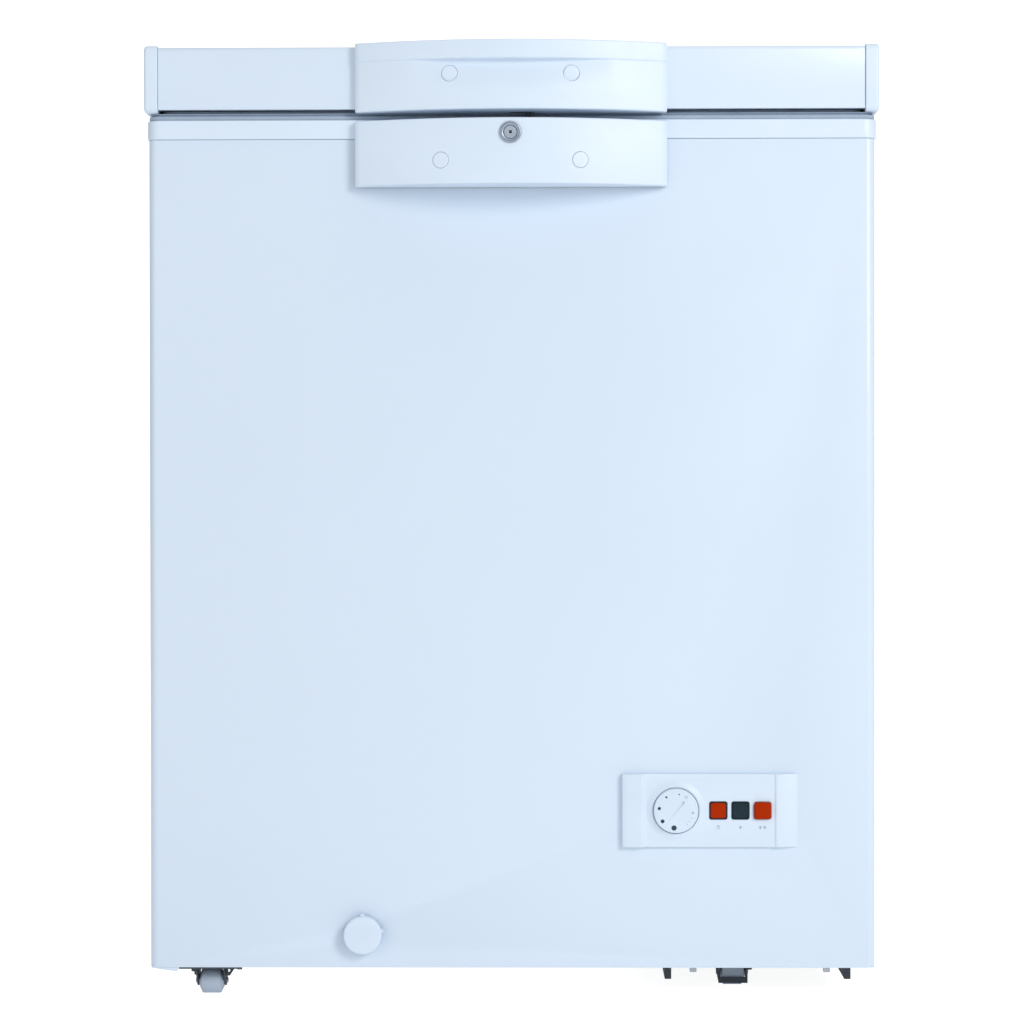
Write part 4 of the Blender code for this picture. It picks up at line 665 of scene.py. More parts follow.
def liner():
    """Embossed liner with its step over the compressor bay, deep drawn round the corners."""
    half_x, half_y = LINER_HALF
    floor, top = LINER[0].z + LINER_SHEET, LINER[1].z
    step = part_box("bottom_panel")[1].z + 0.050
    step_x = BAY[0].x - GAP - WALL
    y = (CENTRE_Y - half_y, CENTRE_Y + half_y)
    grow = LINER_SHEET
    y_out = (y[0] - grow, y[1] + grow)
    round_out = (LINER_RADIUS + grow, LINER_FILLET)
    wide = hollow((-half_x - grow, half_x + grow), y_out, step - grow, top, *round_out)
    deep = hollow((-half_x - grow, step_x + grow), y_out, floor - grow, step + 0.05, *round_out)
    item = new_object("liner_skin", wide)
    flange = rounded(half_x + LINER_FLANGE, half_y + LINER_FLANGE, 0.028, (0.0, CENTRE_Y))
    combine(item, deep, prism(flange, "Z", top - grow, top), operation="UNION")
    drain = (middle(STOPPER, "x"), middle(STOPPER, "y"), floor)
    combine(
        item,
        hollow((-half_x, step_x), y, floor, step + 0.06, LINER_RADIUS, LINER_FILLET),
        hollow((-half_x, half_x), y, step, top + 0.05, LINER_RADIUS, LINER_FILLET),
        rod(drain, (0, 0, 1), 0.011, -0.02, 0.02),
    )
    finish_piece(item, "aluminium", replaces=("inner_liner",))


def pan_head(spot, direction, radius=0.0036, height=0.0020):
    """Round screw head; screw_row cuts its cross recess."""
    dome = [(radius * math.cos(a), height * math.sin(a)) for a in (math.radians(15 * i) for i in range(6))]
    return turned([(radius, -0.0006), *dome], spot, direction, 24)


def screw_row(name, spots, direction, body="cabinet", radius=0.0036, height=0.0020):
    """Screw heads as one piece, each with its cross recess."""
    item = new_object(name, together(*[pan_head(spot, direction, radius, height) for spot in spots]))
    along = Vector(direction)
    side = along.orthogonal().normalized()
    up = along.cross(side)
    for first, second in ((side, up), (up, side)):
        slots = []
        for spot in spots:
            loops = []
            for h in (height * 0.35, height * 1.5):
                base = Vector(spot) + along * h
                loop = []
                for a, b in SQUARE:
                    loop.append(base + first * a * radius * 0.62 + second * b * radius * 0.13)
                loops.append(loop)
            slots.append(loft(loops))
        combine(item, together(*slots))
    finish_piece(item, "screw", body)


def back_fasteners():
    """Screws down both edges of the back panel and at the grille's corners."""
    z_low, z_high = WRAP[0].z + 0.03, WRAP[1].z - 0.02
    gaps = 5
    spots = []
    for x in (-SIDE + 0.012, SIDE - 0.012):
        for i in range(gaps + 1):
            z = z_low + (z_high - z_low) * i / gaps
            if x < 0 or z > BAY[1].z + 0.01:
                spots.append((x, BACK, z))
    for x in (BAY[0].x + 0.010, BAY[1].x - 0.010):
        for z in (BAY[0].z + 0.012, BAY[1].z - 0.012):
            spots.append((x, BACK, z))
    screw_row("back_screws", spots, (0, 1, 0))


def louvres():
    """Half-round hoods over the slots of the rear grille."""
    rows = 7
    radius, sheet = 0.0035, 0.0008
    pitch = (BAY[1].z - BAY[0].z) / (rows + 2)
    hoods = []
    for i in range(rows):
        z = BAY[1].z - pitch * (i + 1) + 0.0052
        centre = (BACK, z - radius)
        outline = [(BACK + 0.0001, z), *arc(centre, radius, 90, 0, 6), (BACK + 0.0028, z - radius)]
        outline += arc(centre, radius - sheet, 0, 88, 6)
        hoods.append(prism(outline, "X", BAY[0].x + 0.018, BAY[1].x - 0.018))
    piece("grille_louvres", together(*hoods), "galvanised", edge=0.0002, segments=1)


# Compressor bay


def compressor():
    """Welded pot with its seam, feet, terminal cover and service stubs."""
    x, y = middle(POT, "x"), middle(POT, "y")
    base = POT[0].z
    r, h = 0.062, POT[1].z - base
    plate_top = base + 0.0028
    profile = [(r * 0.55, 0.0015), (r * 0.80, 0.006), (r * 0.90, 0.016), (r * 0.95, 0.034)]
    profile += [(r * 0.965, h * 0.43), (r * 0.965 + 0.0016, h * 0.436), (r * 0.998, h * 0.442)]
    profile += [(r * 0.998, h * 0.466), (r * 0.965 + 0.0012, h * 0.472)]
    for i in range(1, 13):
        a = math.pi / 2 * i / 13
        profile.append((r * 0.955 * math.cos(a) ** 0.55, h * 0.48 + h * 0.52 * math.sin(a) ** 1.25))
    item = new_object("compressor_pot", turned(profile, (x, y, base), (0, 0, 1), 72))
    combine(item, prism(rounded(0.0745, 0.0475, 0.014, (x, y)), "Z", base, plate_top), operation="UNION")
    finish_piece(item, "black_enamel", replaces=("compressor",), edge=0.0006)
    foot = [(0.0085, 0.0003), (0.0088, 0.004), (0.0068, 0.005), (0.0068, 0.007)]
    foot += [(0.0088, 0.0080), (0.0086, 0.0095)]
    spots = [(x + dx, y + dy) for dx in (-0.062, 0.062) for dy in (-0.036, 0.036)]
    feet = [turned(foot, (*spot, TRAY[1].z), (0, 0, 1), 28) for spot in spots]
    piece("compressor_feet", together(*feet), "black_rubber", edge=0.0003, segments=2)
    nuts = [hex_head((*spot, plate_top), (0, 0, 1), 0.0045, 0.004) for spot in spots]
    piece("compressor_nuts", together(*nuts), "screw", edge=0.0003, segments=1)
    cover = prism(rounded(0.016, 0.024, 0.004, (y - 0.004, base + 0.066)), "X", x - r - 0.018, x - r * 0.90)
    piece("terminal_cover", cover, "dark_plastic", edge=0.0020)
    stub_z = base + h * 0.60
    reach = (0.0045, r * 0.88, r + 0.0019, 24)
    stubs = [rod((x, y + 0.015, stub_z), (1, 0, 0), *reach), rod((x + 0.012, y, stub_z), (0, -1, 0), *reach)]
    piece("compressor_stubs", together(*stubs), "copper", edge=0.0003, segments=1)


def hex_head(spot, direction, radius, height):
    """Hexagon head on a washer."""
    washer = rod(spot, direction, radius * 1.22, 0.0, height * 0.2, 28)
    profile = [(radius, height * 0.2), (radius, height * 0.86), (radius * 0.84, height)]
    head = turned(profile, spot, direction, 6)
    return together(washer, head)


def tray_bolts():
    """Bolts of the compressor tray: a pair into the front ledge and a pair near the back."""
    x = middle(TRAY, "x")
    half = TRAY[1].x - x - 0.0244
    rows = ((FRONT + 0.011, WRAP[0].z), (TRAY[1].y - 0.020, TRAY[1].z - 0.0016))
    spots = [(x + sign * half, y, z) for y, z in rows for sign in (-1, 1)]
    heads = together(*[hex_head(spot, (0, 0, -1), 0.0035, 0.0050) for spot in spots])
    piece("tray_bolts", heads, "screw", edge=0.0002, segments=1)


def gland():
    """Rubber bush with its flange and a ribbed, tapering neck."""
    profile = [(0.0036, -0.010), (0.008, -0.010), (0.008, GAP), (0.0112, GAP), (0.0115, 0.0008)]
    profile += [(0.0112, 0.0025), (0.0085, 0.0028)]
    for i in range(4):
        height = 0.0034 + 0.0014 * i
        taper = 0.0005 * i
        root = 0.0068 - taper
        profile += [(0.0078 - taper, height), (root, height + 0.0004), (root, height + 0.0009)]
    profile += [(0.0050, 0.0088), (0.0036, 0.0086)]
    high = GLAND[1].y - BACK
    profile = [(r, min(h, high)) for r, h in profile]
    bush = turned(profile, (middle(GLAND, "x"), BACK, middle(GLAND, "z")), (0, 1, 0), 40, bored=True)
    piece("gland_bush", bush, "black_rubber", replaces=("cable_gland",))


# Lid


def lid_sheet_path(inset):
    front, back = LID_FRONT + inset, LID_BACK - inset
    top, low = LID[1].z - inset, LID[0].z + inset
    radius = LID_RADIUS - inset
    rise = arc((front + radius, top - radius), radius, 180, 90, 8)
    fall = arc((back - radius, top - radius), radius, 90, 0, 8)
    return [(LID_FRONT + LID_HEM, low), (front, low), *rise, *fall, (back, low), (LID_BACK - LID_HEM, low)]


def lid_skin():
    """Painted sheet over the front, top and back of the lid, hemmed under."""
    outline = lid_sheet_path(0.0) + lid_sheet_path(SHEET)[::-1]
    sheet = prism(outline, "X", LID[0].x, LID[1].x)
    piece("lid_skin", sheet, "white_paint", "lid", ("lid_outer_panel",), 0.00025, 2)


def lid_caps():
    """Moulded ends of the lid, rounded over outside, with a shadow line where they meet the sheet."""
    low, high = CAP
    centre = (CENTRE_Y, (low.z + high.z) / 2)
    half = (high.y - CENTRE_Y, (high.z - low.z) / 2)
    edge = 0.0030
    for side, sign in zip(SIDES, (-1, 1)):
        stations = [(low.x, 0.0006), (low.x + 0.0006, 0.0)]
        stations += [(high.x - edge + u, edge - v) for u, v in arc((0.0, 0.0), edge, 90, 10, 6)]
        loops = []
        for x, inset in stations:
            outline = rounded(half[0] - inset, half[1] - inset, 0.006 - inset, centre, 6)
            loops.append([(sign * x, y, z) for y, z in outline])
        piece(f"lid_cap_{side}", loft(loops), "white_plastic", "lid", (f"lid_end_cap_{side}",))


def gasket():
    """Bellows seal: magnet chamber on the rim, two folds and a neck clipped into the lid."""
    half_x, half_y = GASKET[1].x, GASKET[1].y - CENTRE_Y
    foot, top = GASKET[0].z, GASKET[1].z
    width = 0.0150
    path = [(0.0004, 0.0), (0.0, 0.0006), (0.0, 0.0030), (0.0006, 0.0036), (0.0022, 0.0040)]
    path += [(0.0030, 0.0046), (0.0012, 0.0054), (0.0010, 0.0058), (0.0105, 0.0061), (0.0105, top - foot)]
    path += [(width, top - foot), (width + 0.0006, 0.0061), (width, 0.0052), (width - 0.0010, 0.0045)]
    path += [(width, 0.0034), (width, 0.0006), (width - 0.0006, 0.0)]
    sections = [(half_x - inset, half_y - inset, 0.010, foot + height) for inset, height in path]
    piece("gasket_bellows", loft(plates(sections, 6), closed=True), "gasket_rubber", "lid", ("lid_gasket",))


def lid_pan():
    """Formed liner of the lid: flange, drawn plug and a shallow stiffening field."""
    foot, top = LID_PAN[0].z, LID_PAN[1].z
    flange = (LID_PAN[1].x, LID_PAN[1].y - CENTRE_Y)
    plug_x, plug_y = (half - 0.011 for half in THROAT)
    low = LID[0].z + SHEET + GAP
    radius = 0.005
    side = 0.005 + radius
    wall = top - low
    rise = 0.0013
    field = [(0.120, 0.060, 0.0), (0.044, 0.020, 0.0), (0.042, 0.020, 0.0002), (0.039, 0.022, 0.0011)]
    field += [(0.037, 0.022, rise), (side, 0.012, rise)]
    sections = [(plug_x - inset, plug_y - inset, corner, foot + rise - drop) for inset, corner, drop in field]
    for u, v in arc((0.0, 0.0), radius, 290, 350, 4):
        sections.append((plug_x - side + u, plug_y - side + u, 0.012, foot + radius + v))
    sections += [(plug_x - 0.002, plug_y - 0.002, 0.014, low - 0.002), (plug_x, plug_y, 0.016, low)]
    inside = [(x - wall, y - wall, corner, min(z + wall, top)) for x, y, corner, z in sections]
    sections += [(*flange, 0.004, low), (*flange, 0.004, top), *inside[::-1]]
    piece("lid_pan", loft(plates(sections, 8)), "liner_plastic", "lid", ("lid_inner_liner",))


# Bowed handle and lock housing


def bow(x, rise):
    return BOW_END + rise * (1 - (x / BOW_HALF) ** 2)


def scoop(x, drop):
    """Depth of the finger scoop at a distance below the crease."""
    across = max(0.0, 1 - (x / SCOOP_HALF) ** 2)
    down = min(1.0, max(0.0, 1 - drop / SCOOP_HEIGHT))
    return SCOOP_DEPTH * across * down * down * (3 - 2 * down) + LIP_STEP


def round_edge(d, z, start, stop):
    """Rounded outer edge of a bowed moulding, about its centre."""
    return arc((d - BOW_EDGE, z), BOW_EDGE, start, stop, 5)


def handle_section(x, wall):
    """Outline of the handle at a station: (distance out from the lid, z)."""
    d = bow(x, HANDLE_BOW) - wall
    top, low = HANDLE[1].z - wall, HANDLE[0].z + wall
    lip = HANDLE[1].z - LIP_HEIGHT
    crease = lip - 0.0009
    floor = low + BOW_EDGE + 0.0012
    back = -0.01 if wall else GAP
    shape = [(back, top), *round_edge(d, top - BOW_EDGE, 90, 0), (d, lip + 0.0005), (d - 0.0004, lip)]
    for i in range(SCOOP_ROWS + 1):
        z = crease + (floor - crease) * (i / SCOOP_ROWS) ** 1.3
        shape.append((d - scoop(x, crease - z), z))
    return shape + [*round_edge(d - 0.0012, low + BOW_EDGE, 0, -90), (back, low)]


def housing_section(x, wall):
    """Outline of the lock housing at a station: (distance out from the frame, z)."""
    d = bow(x, HOUSING_BOW) - wall
    top, low = HOUSING[1].z - wall, HOUSING[0].z + wall
    back = -0.01 if wall else GAP
    edges = round_edge(d, top - BOW_EDGE, 90, 0) + round_edge(d, low + BOW_EDGE, 0, -90)
    return [(back, top), *edges, (back, low)]


def bowed(section, wall):
    """Loft a section along X, drawn in a little at the two ends."""
    half = BOW_HALF - wall
    edge = 0.0010
    stations = [-half + edge + (half - edge) * 2 * i / BOW_STATIONS for i in range(BOW_STATIONS + 1)]
    loops = []
    for x in (-half, *stations, half):
        tuck = edge * 0.7 if abs(x) >= half - 1e-6 else 0.0
        outline = section(x, wall)
        heights = [z for out, z in outline]
        mid = (max(heights) + min(heights)) / 2
        span = (max(heights) - min(heights)) / 2
        loop = []
        for out, z in outline:
            reach = out - tuck if out > 0.002 else out
            loop.append((x, LID_FRONT - reach, mid + (z - mid) * (span - tuck) / span))
        loops.append(loop)
    return loft(loops)


def face_place(name):
    """Centre and outward normal of a screw cap, read from its box."""
    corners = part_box(name)
    x, z = middle(corners, "x"), middle(corners, "z")
    rise = HANDLE_BOW * 0.6 if name.startswith("handle") else HOUSING_BOW
    normal = Vector((2 * rise * x / BOW_HALF**2, -1.0, 0.0)).normalized()
    if name.startswith("handle"):
        depth = bow(x, HANDLE_BOW) - scoop(x, HANDLE[1].z - LIP_HEIGHT - 0.0025 - z)
    else:
        depth = bow(x, HOUSING_BOW)
    return Vector((x, LID_FRONT - depth, z)), normal


def screw_cap(name, body):
    centre, normal = face_place(name)
    r = CAP_RADIUS
    profile = [(r, -0.0050), *soft_disc(r, -0.0040, 0.0004, 0.0004)[1:-1]]
    profile += [(r * 0.55, 0.0005), (0.0012, 0.00045)]
    piece(f"{name}_cover", turned(profile, centre, normal, 56), "white_plastic", body, (name,))


def cap_holes(moulding):
    """Cutters for the two screw caps of a moulding."""
    places = [face_place(f"{moulding}_screw_cap_{side}") for side in SIDES]
    return [rod(centre, normal, CAP_HOLE, -0.02, 0.02, 56) for centre, normal in places]


def notch(height):
    """Cutter that lets the lock's keeper through a moulding at a height."""
    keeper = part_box("lock_keeper")
    x = (keeper[0].x - 0.0062, keeper[1].x + 0.003)
    return box(x, (LID_FRONT - 0.0075, LID_FRONT + 0.01), (height - 0.01, height + 0.01))


def handle():
    item = new_object("handle_grip", bowed(handle_section, 0.0))
    combine(item, bowed(handle_section, BOW_WALL), notch(HANDLE[0].z), *cap_holes("handle"))
    finish_piece(item, "white_plastic", "lid", ("lid_handle",))
    for side in SIDES:
        screw_cap(f"handle_screw_cap_{side}", "lid")


def housing():
    item = new_object("lock_cover", bowed(housing_section, 0.0))
    lock_place = (middle(BEZEL, "x"), HOUSING[0].y, middle(BEZEL, "z"))
    lock_hole = rod(lock_place, (0, 1, 0), 0.0089, -0.01, 0.02, 56)
    combine(item, bowed(housing_section, BOW_WALL), notch(HOUSING[1].z), lock_hole, *cap_holes("housing"))
    finish_piece(item, "white_plastic", replaces=("lock_housing",))
    for side in SIDES:
        screw_cap(f"housing_screw_cap_{side}", "cabinet")


def lock():
    """Plated bezel with turned rings, and the plug with its raised hub and square keyway."""
    x, z = middle(BEZEL, "x"), middle(BEZEL, "z")
    face, front = BEZEL[0].y, PLUG[0].y
    r = (BEZEL[1].x - BEZEL[0].x) / 2 - 0.0005
    seat = HOUSING[0].y - face - GAP
    tail = BEZEL[1].y - face
    radius = (PLUG[1].x - PLUG[0].x) / 2
    bore = radius + GAP
    ring = [(bore, 0.0010), (bore + 0.0004, 0.0005), (r - 0.0022, 0.0002), (r - 0.0019, 0.0007)]
    ring += [(r - 0.0016, 0.0007), (r - 0.0013, 0.0), (r - 0.0006, 0.0002), (r, 0.0010), (r, seat)]
    ring += [(r - 0.0016, seat), (r - 0.0016, tail), (bore, tail)]
    bezel = turned(ring, (x, face, z), (0, 1, 0), 72, bored=True)
    piece("lock_bezel", bezel, "lock_ring", replaces=("lock_barrel",))
    hub = [(radius, PLUG[1].y - front), (radius, 0.0010), (radius - 0.0004, 0.0006), (0.0040, 0.0006)]
    hub += [(0.0037, 0.0), (0.0030, 0.0), (0.0027, 0.0005), (0.0010, 0.0005)]
    item = new_object("lock_plug_face", turned(hub, (x, front, z), (0, 1, 0), 64))
    half = 0.0014
    combine(item, box((x - half, x + half), (front - 0.002, front + 0.006), (z - half, z + half)))
    finish_piece(item, "lock_metal", "lock_plug", ("lock_cylinder",))
    pin = rod((x, front, z), (0, 1, 0), 0.0006, 0.0012, 0.005, 20)
    piece("lock_pin", pin, "dark_plastic", "lock_plug")


# Control panel


def panel_outline():
    """Plan of the bezel: left wing with a soft ridge, sunken field, right wing that falls away."""
    left, right = PANEL[0].x, PANEL[1].x
    face, field = PANEL[0].y, FIELD_Y
    ridge = left + PANEL_LEFT_WING
    outline = [(left, FRONT), (left, face + 0.0030)]
    outline += arc((left + 0.0016, face + 0.0024), 0.0016, 180, 250, 4)
    outline += [(left + 0.0070, face + 0.00040), (ridge - 0.0028, face + 0.00002), (ridge - 0.0016, face)]
    outline += [(ridge - 0.0006, face + 0.0004), (ridge + 0.0016, field - 0.0006), (ridge + 0.0030, field)]
    start = right - PANEL_RIGHT_WING
    crest = face + 0.0014
    fall = FRONT - crest - 0.0006
    outline += [(start - 0.0008, field), (start + 0.0002, crest + 0.0003)]
    steps = 12
    for i in range(steps + 1):
        t = i / steps
        outline.append((start + 0.0010 + (right - start - 0.0014) * t, crest + fall * t**1.7))
    outline.append((right, FRONT))
    return outline


def pad(centre_x, half, radius, stations, steps=5):
    """Rounded square about a lamp's axis: (inset, y) stations."""
    loops = []
    for inset, y in stations:
        outline = rounded(half - inset, half - inset, max(radius - inset, 0.0003), (centre_x, PANEL_Z), steps)
        loops.append([(x, y, z) for x, z in outline])
    return loft(loops)


def control_panel():
    """Bezel with a soft collar round the dial, a hole for its shaft and pockets for the lamps."""
    item = new_object("panel_bezel", prism(panel_outline(), "Z", PANEL[0].z, PANEL[1].z))
    soften(item, 0.0007, 3, 50.0)
    settle(item)
    dial_seat = (DIAL_X, FIELD_Y, PANEL_Z)
    collar = [(0.0272, 0.0010), (0.0272, 0.0), (0.0262, -0.00015), (0.0246, -0.0009), (0.0230, -0.0018)]
    collar += [(0.0220, -0.0022), (0.0210, -0.0022), (0.0206, -0.0019), (0.0206, 0.0010)]
    combine(item, turned(collar, dial_seat, (0, 1, 0), 96, bored=True), operation="UNION")
    combine(item, rod(dial_seat, (0, 1, 0), 0.0035, -0.01, 0.01, 32))
    shallow, deep = FIELD_Y + 0.0003, FIELD_Y + 0.0022
    stations = [(-0.0004, FIELD_Y - 0.003), (-0.0004, FIELD_Y - 0.00005), (0.0, shallow), (0.0, deep)]
    hole = STEM_HALF + GAP
    for lamp in LAMPS:
        x = middle(lamp, "x")
        combine(item, pad(x, (lamp[1].x - lamp[0].x) / 2 + GAP, 0.0020, stations))
        through = box((x - hole, x + hole), (FIELD_Y, FRONT + 0.01), (PANEL_Z - 0.0045, PANEL_Z + 0.0045))
        combine(item, through)
    finish_piece(item, "white_plastic", replaces=("control_panel",))


def lamp_lens(lamp, name, style, node):
    """Lens in a dark collar: domed face with rounded corners."""
    x = middle(lamp, "x")
    half = (lamp[1].x - lamp[0].x) / 2
    face = lamp[0].y
    lip, sill = FIELD_Y - 0.0005, FIELD_Y + 0.0006
    collar = [(0.0, FIELD_Y + 0.0020), (0.0, FIELD_Y - 0.0002), (0.0002, lip), (0.0008, lip)]
    collar += [(0.0008, sill), (half * 0.6, sill)]
    piece(f"{name}_collar", pad(x, half, 0.0018, collar), "dark_lens")
    stem = STEM_HALF * 0.9
    dome = [(stem, lamp[1].y), (stem, FIELD_Y + 0.0021), (0.0010, FIELD_Y + 0.0019)]
    dome += [(0.0010, face + 0.0006), (0.0012, face + 0.0002), (0.0017, face + 0.00005), (half * 0.55, face)]
    piece(f"{name}_face", pad(x, half, 0.0026, dome), style, replaces=(node,))


def lamps():
    lamp_lens(LAMPS[0], "power_lamp", "orange_lens", "power_lamp_lens")
    lamp_lens(LAMPS[1], "run_lamp", "dark_lens", "run_lamp_lens")


def button():
    """Push button with a crowned face; its upper edge catches the light."""
    low, high = LAMPS[2]
    half = (high.x - low.x) / 2
    face, seat = low.y, FIELD_Y - 0.0006
    stations = [(half - STEM_HALF, high.y), (half - STEM_HALF, seat), (0.0, seat), (0.0, face + 0.0018)]
    stations += [(0.0001, face + 0.0012), (0.0005, face + 0.0006), (0.0012, face + 0.0002)]
    stations += [(0.0022, face + 0.00005), (half * 0.6, face)]
    crowned = pad(middle(LAMPS[2], "x"), half, 0.0020, stations)
    piece("freeze_button", crowned, "orange_lens", "button", ("fast_freeze_button",))


def on_dial(radius, angle, y):
    a = math.radians(angle)
    return (DIAL_X + radius * math.cos(a), y, PANEL_Z + radius * math.sin(a))


def stroke(start, end, y, width, depth=INK):
    """Flat bar between two (x, z) points of a face."""
    along = Vector((end[0] - start[0], 0.0, end[1] - start[1])).normalized()
    side = Vector((-along.z, 0.0, along.x)) * width / 2
    a = Vector((start[0], 0.0, start[1]))
    b = Vector((end[0], 0.0, end[1]))
    outline = [a - side, b - side, b + side, a + side]
    return loft([[(p.x, level, p.z) for p in outline] for level in (y - depth, y + depth)])


def star(x, z, y, radius, width):
    """Six-armed mark for cold."""
    bars = []
    for angle in (30, 90, 150):
        a = math.radians(angle)
        u, v = radius * math.cos(a), radius * math.sin(a)
        bars.append(stroke((x - u, z - v), (x + u, z + v), y, width))
    return bars


def hoop(x, z, y, radius, width):
    """Flat printed ring."""
    small, large = radius - width / 2, radius + width / 2
    profile = [(small, -INK), (large, -INK), (large, INK), (small, INK)]
    return turned(profile, (x, y, z), (0, 1, 0), 36, bored=True)


def dial():
    """Knob with a rounded rim, a fine groove inside it and a tapered coin slot that points at the scale."""
    y = FIELD_Y + GAP
    face = y - 0.0062
    r = DIAL_RADIUS
    flat = face + 0.0001
    profile = [(0.0030, DIAL[1].y), (0.0030, y), (r - 0.0006, y), (r, y - 0.0008)]
    profile.append((r - 0.0004, face + 0.0016))
    for a in (0.2, 0.6, 1.0, 1.4):
        profile.append((r - 0.0016 + 0.0011 * math.cos(a), face + 0.0011 - 0.0011 * math.sin(a)))
    profile += [(r - 0.0022, face), (r - 0.0025, face + 0.00025), (r - 0.0028, face + 0.00012)]
    profile += [(r - 0.0070, flat), (0.0050, flat)]
    item = new_object("dial_knob", turned(profile, (DIAL_X, 0.0, PANEL_Z), (0, 1, 0), 96))
    combine(item, coin_slot(face))
    finish_piece(item, "white_plastic", "dial", ("thermostat_dial",), 0.00010, 2)
    dial_marks(face + INK)


def coin_slot(face):
    """Cutter for the dial's slot, wider and deeper towards the scale."""
    turn = math.radians(49.0)
    along = Vector((math.cos(turn), 0.0, math.sin(turn)))
    side = Vector((-math.sin(turn), 0.0, math.cos(turn)))
    above = face - 0.001
    loops = []
    for reach, half, depth in ((-0.0108, 0.0004, 0.0006), (0.0100, 0.0015, 0.0018), (0.0108, 0.0011, 0.0018)):
        foot = face + depth
        corners = ((-half, above), (half, above), (half * 0.8, foot), (-half * 0.8, foot))
        centre = Vector((DIAL_X, 0.0, PANEL_Z)) + along * reach
        loops.append([centre + side * s + Vector((0, v, 0)) for s, v in corners])
    return loft(loops)


def dial_marks(y):
    """Printed marks of the dial: growing dots, a ring for off, a star and three ticks."""
    dots = []
    for step, size in enumerate((0.0006, 0.0009, 0.0014, 0.0017, 0.0023)):
        spot = on_dial(DIAL_RADIUS * 0.745, 79 + 46 * step, y)
        dots.append(rod(spot, (0, -1, 0), size, -0.00006, 0.00012, 32))
    piece("dial_dots", together(*dots), "ink", "dial")
    off = on_dial(DIAL_RADIUS * 0.76, 54, y)
    cold = on_dial(DIAL_RADIUS * 0.74, -6, y)
    scale = [hoop(off[0], off[2], y, 0.0011, 0.00035), *star(cold[0], cold[2], y, 0.0014, 0.00035)]
    for angle in (-24, -38, -50):
        inner, outer = (on_dial(DIAL_RADIUS * share, angle, y) for share in (0.70, 0.79))
        scale.append(stroke((inner[0], inner[2]), (outer[0], outer[2]), y, 0.0004))
    piece("dial_scale", together(*scale), "pale_ink", "dial")


def panel_symbols():
    """Generic printed marks under the lamps in place of their labels."""
    z = LAMPS[0][0].z - 0.0072
    y = FIELD_Y
    power, run, freeze = (middle(lamp, "x") for lamp in LAMPS)
    marks = [hoop(power, z, y, 0.0013, 0.0004), stroke((power, z + 0.0004), (power, z + 0.0021), y, 0.0005)]
    for x in (run, freeze - 0.0020, freeze + 0.0020):
        marks += star(x, z, y, 0.0016, 0.0004)
    piece("panel_symbols", together(*marks), "pale_ink")


# Drain


def drain():
    """Drain cap over the pull-out pipe, and the socket they sit in."""
    drain_cover()
    low, high = DRAIN[0].y, DRAIN[1].y
    r, bore = 0.0070, 0.0052
    ring = low + 0.012
    profile = [(bore, low), (r - 0.0003, low), (r, low + 0.0003), (r, ring), (r + 0.0003, ring + 0.0003)]
    profile += [(r + 0.0003, ring + 0.0013), (r, ring + 0.0016), (r, high - 0.0010), (r - 0.0006, high)]
    profile.append((bore, high))
    pipe = turned(profile, (DRAIN_X, 0.0, DRAIN_Z), (0, 1, 0), 48, bored=True)
    piece("drain_pipe", pipe, "grey_plastic", "drain_slide", ("drain_tube",))
    dress("drain_socket", "white_plastic", 0.0003)


def drain_cover():
    """Cap with a rounded rim, two tabs and an arrow grooved in its face."""
    x, z = DRAIN_X, DRAIN_Z
    r = 0.0171
    near, far = DRAIN_CAP[1].y, DRAIN_CAP[0].y
    profile = [(r - 0.0008, near), (r, near - 0.0008), (r - 0.0002, far + 0.0022)]
    for a in (0.15, 0.5, 0.85, 1.2):
        profile.append((r - 0.0020 + 0.0018 * math.cos(a), far + 0.0018 - 0.0018 * math.sin(a)))
    profile += [(r - 0.0022, far), (0.0060, far)]
    item = new_object("drain_cover", turned(profile, (x, 0.0, z), (0, 1, 0), 80))
    tab = [(0.0012, far + 0.0026), (0.0019, far + 0.0034), (0.0019, near - 0.0012)]
    for angle in (12.0, 92.0):
        a = math.radians(angle)
        spot = (x + r * math.cos(a), 0.0, z + r * math.sin(a))
        combine(item, turned(tab, spot, (0, 1, 0), 24), operation="UNION")
    a = math.radians(52.0)
    u, v = math.cos(a), math.sin(a)
    tail, tip = (x - u * 0.0075, z - v * 0.0075), (x + u * 0.0085, z + v * 0.0085)
    ends = [tail]
    for bend in (140.0, -140.0):
        b = a + math.radians(bend)
        ends.append((tip[0] + math.cos(b) * 0.0042, tip[1] + math.sin(b) * 0.0042))
    shaft, *barbs = ends
    combine(item, stroke(shaft, tip, far, 0.0009, 0.00025))
    for barb in barbs:
        combine(item, stroke(tip, barb, far, 0.0009, 0.00025))
    finish_piece(item, "white_plastic", "drain_turn", ("drain_cap",))


def stopper():
    """Plug in the liner's floor: ribbed stem, flange and finger knob."""
    r, stem = (STOPPER[1].x - STOPPER[0].x) / 2, 0.0105
    low, high = STOPPER[0].z, STOPPER[1].z
    floor = LINER[0].z + LINER_SHEET + GAP
    profile = [(stem - 0.0012, low), (stem, low + 0.0016), (stem, low + 0.0040)]
    profile += [(stem + 0.0004, low + 0.0046), (stem, low + 0.0052)]
    profile += [(stem, floor), (r - 0.0003, floor), (r, floor + 0.0004)]
    profile += [(r, floor + 0.0016), (r - 0.0010, floor + 0.0024), (r * 0.55, floor + 0.0026)]
    profile += [(r * 0.50, high), (r * 0.30, high)]
    profile = [(radius, min(height, high)) for radius, height in profile]
    plug = turned(profile, (middle(STOPPER, "x"), middle(STOPPER, "y"), 0.0), (0, 0, 1), 56)
    piece("stopper_cap", plug, "white_plastic", "stopper", ("drain_plug",))


# Running gear


def round_part(node):
    """Centre, half length and radius of a round node that lies along X."""
    low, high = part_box(node)
    centre = tuple((a + b) / 2 for a, b in zip(low, high))
    return centre, (high.x - low.x) / 2, (high.z - low.z) / 2


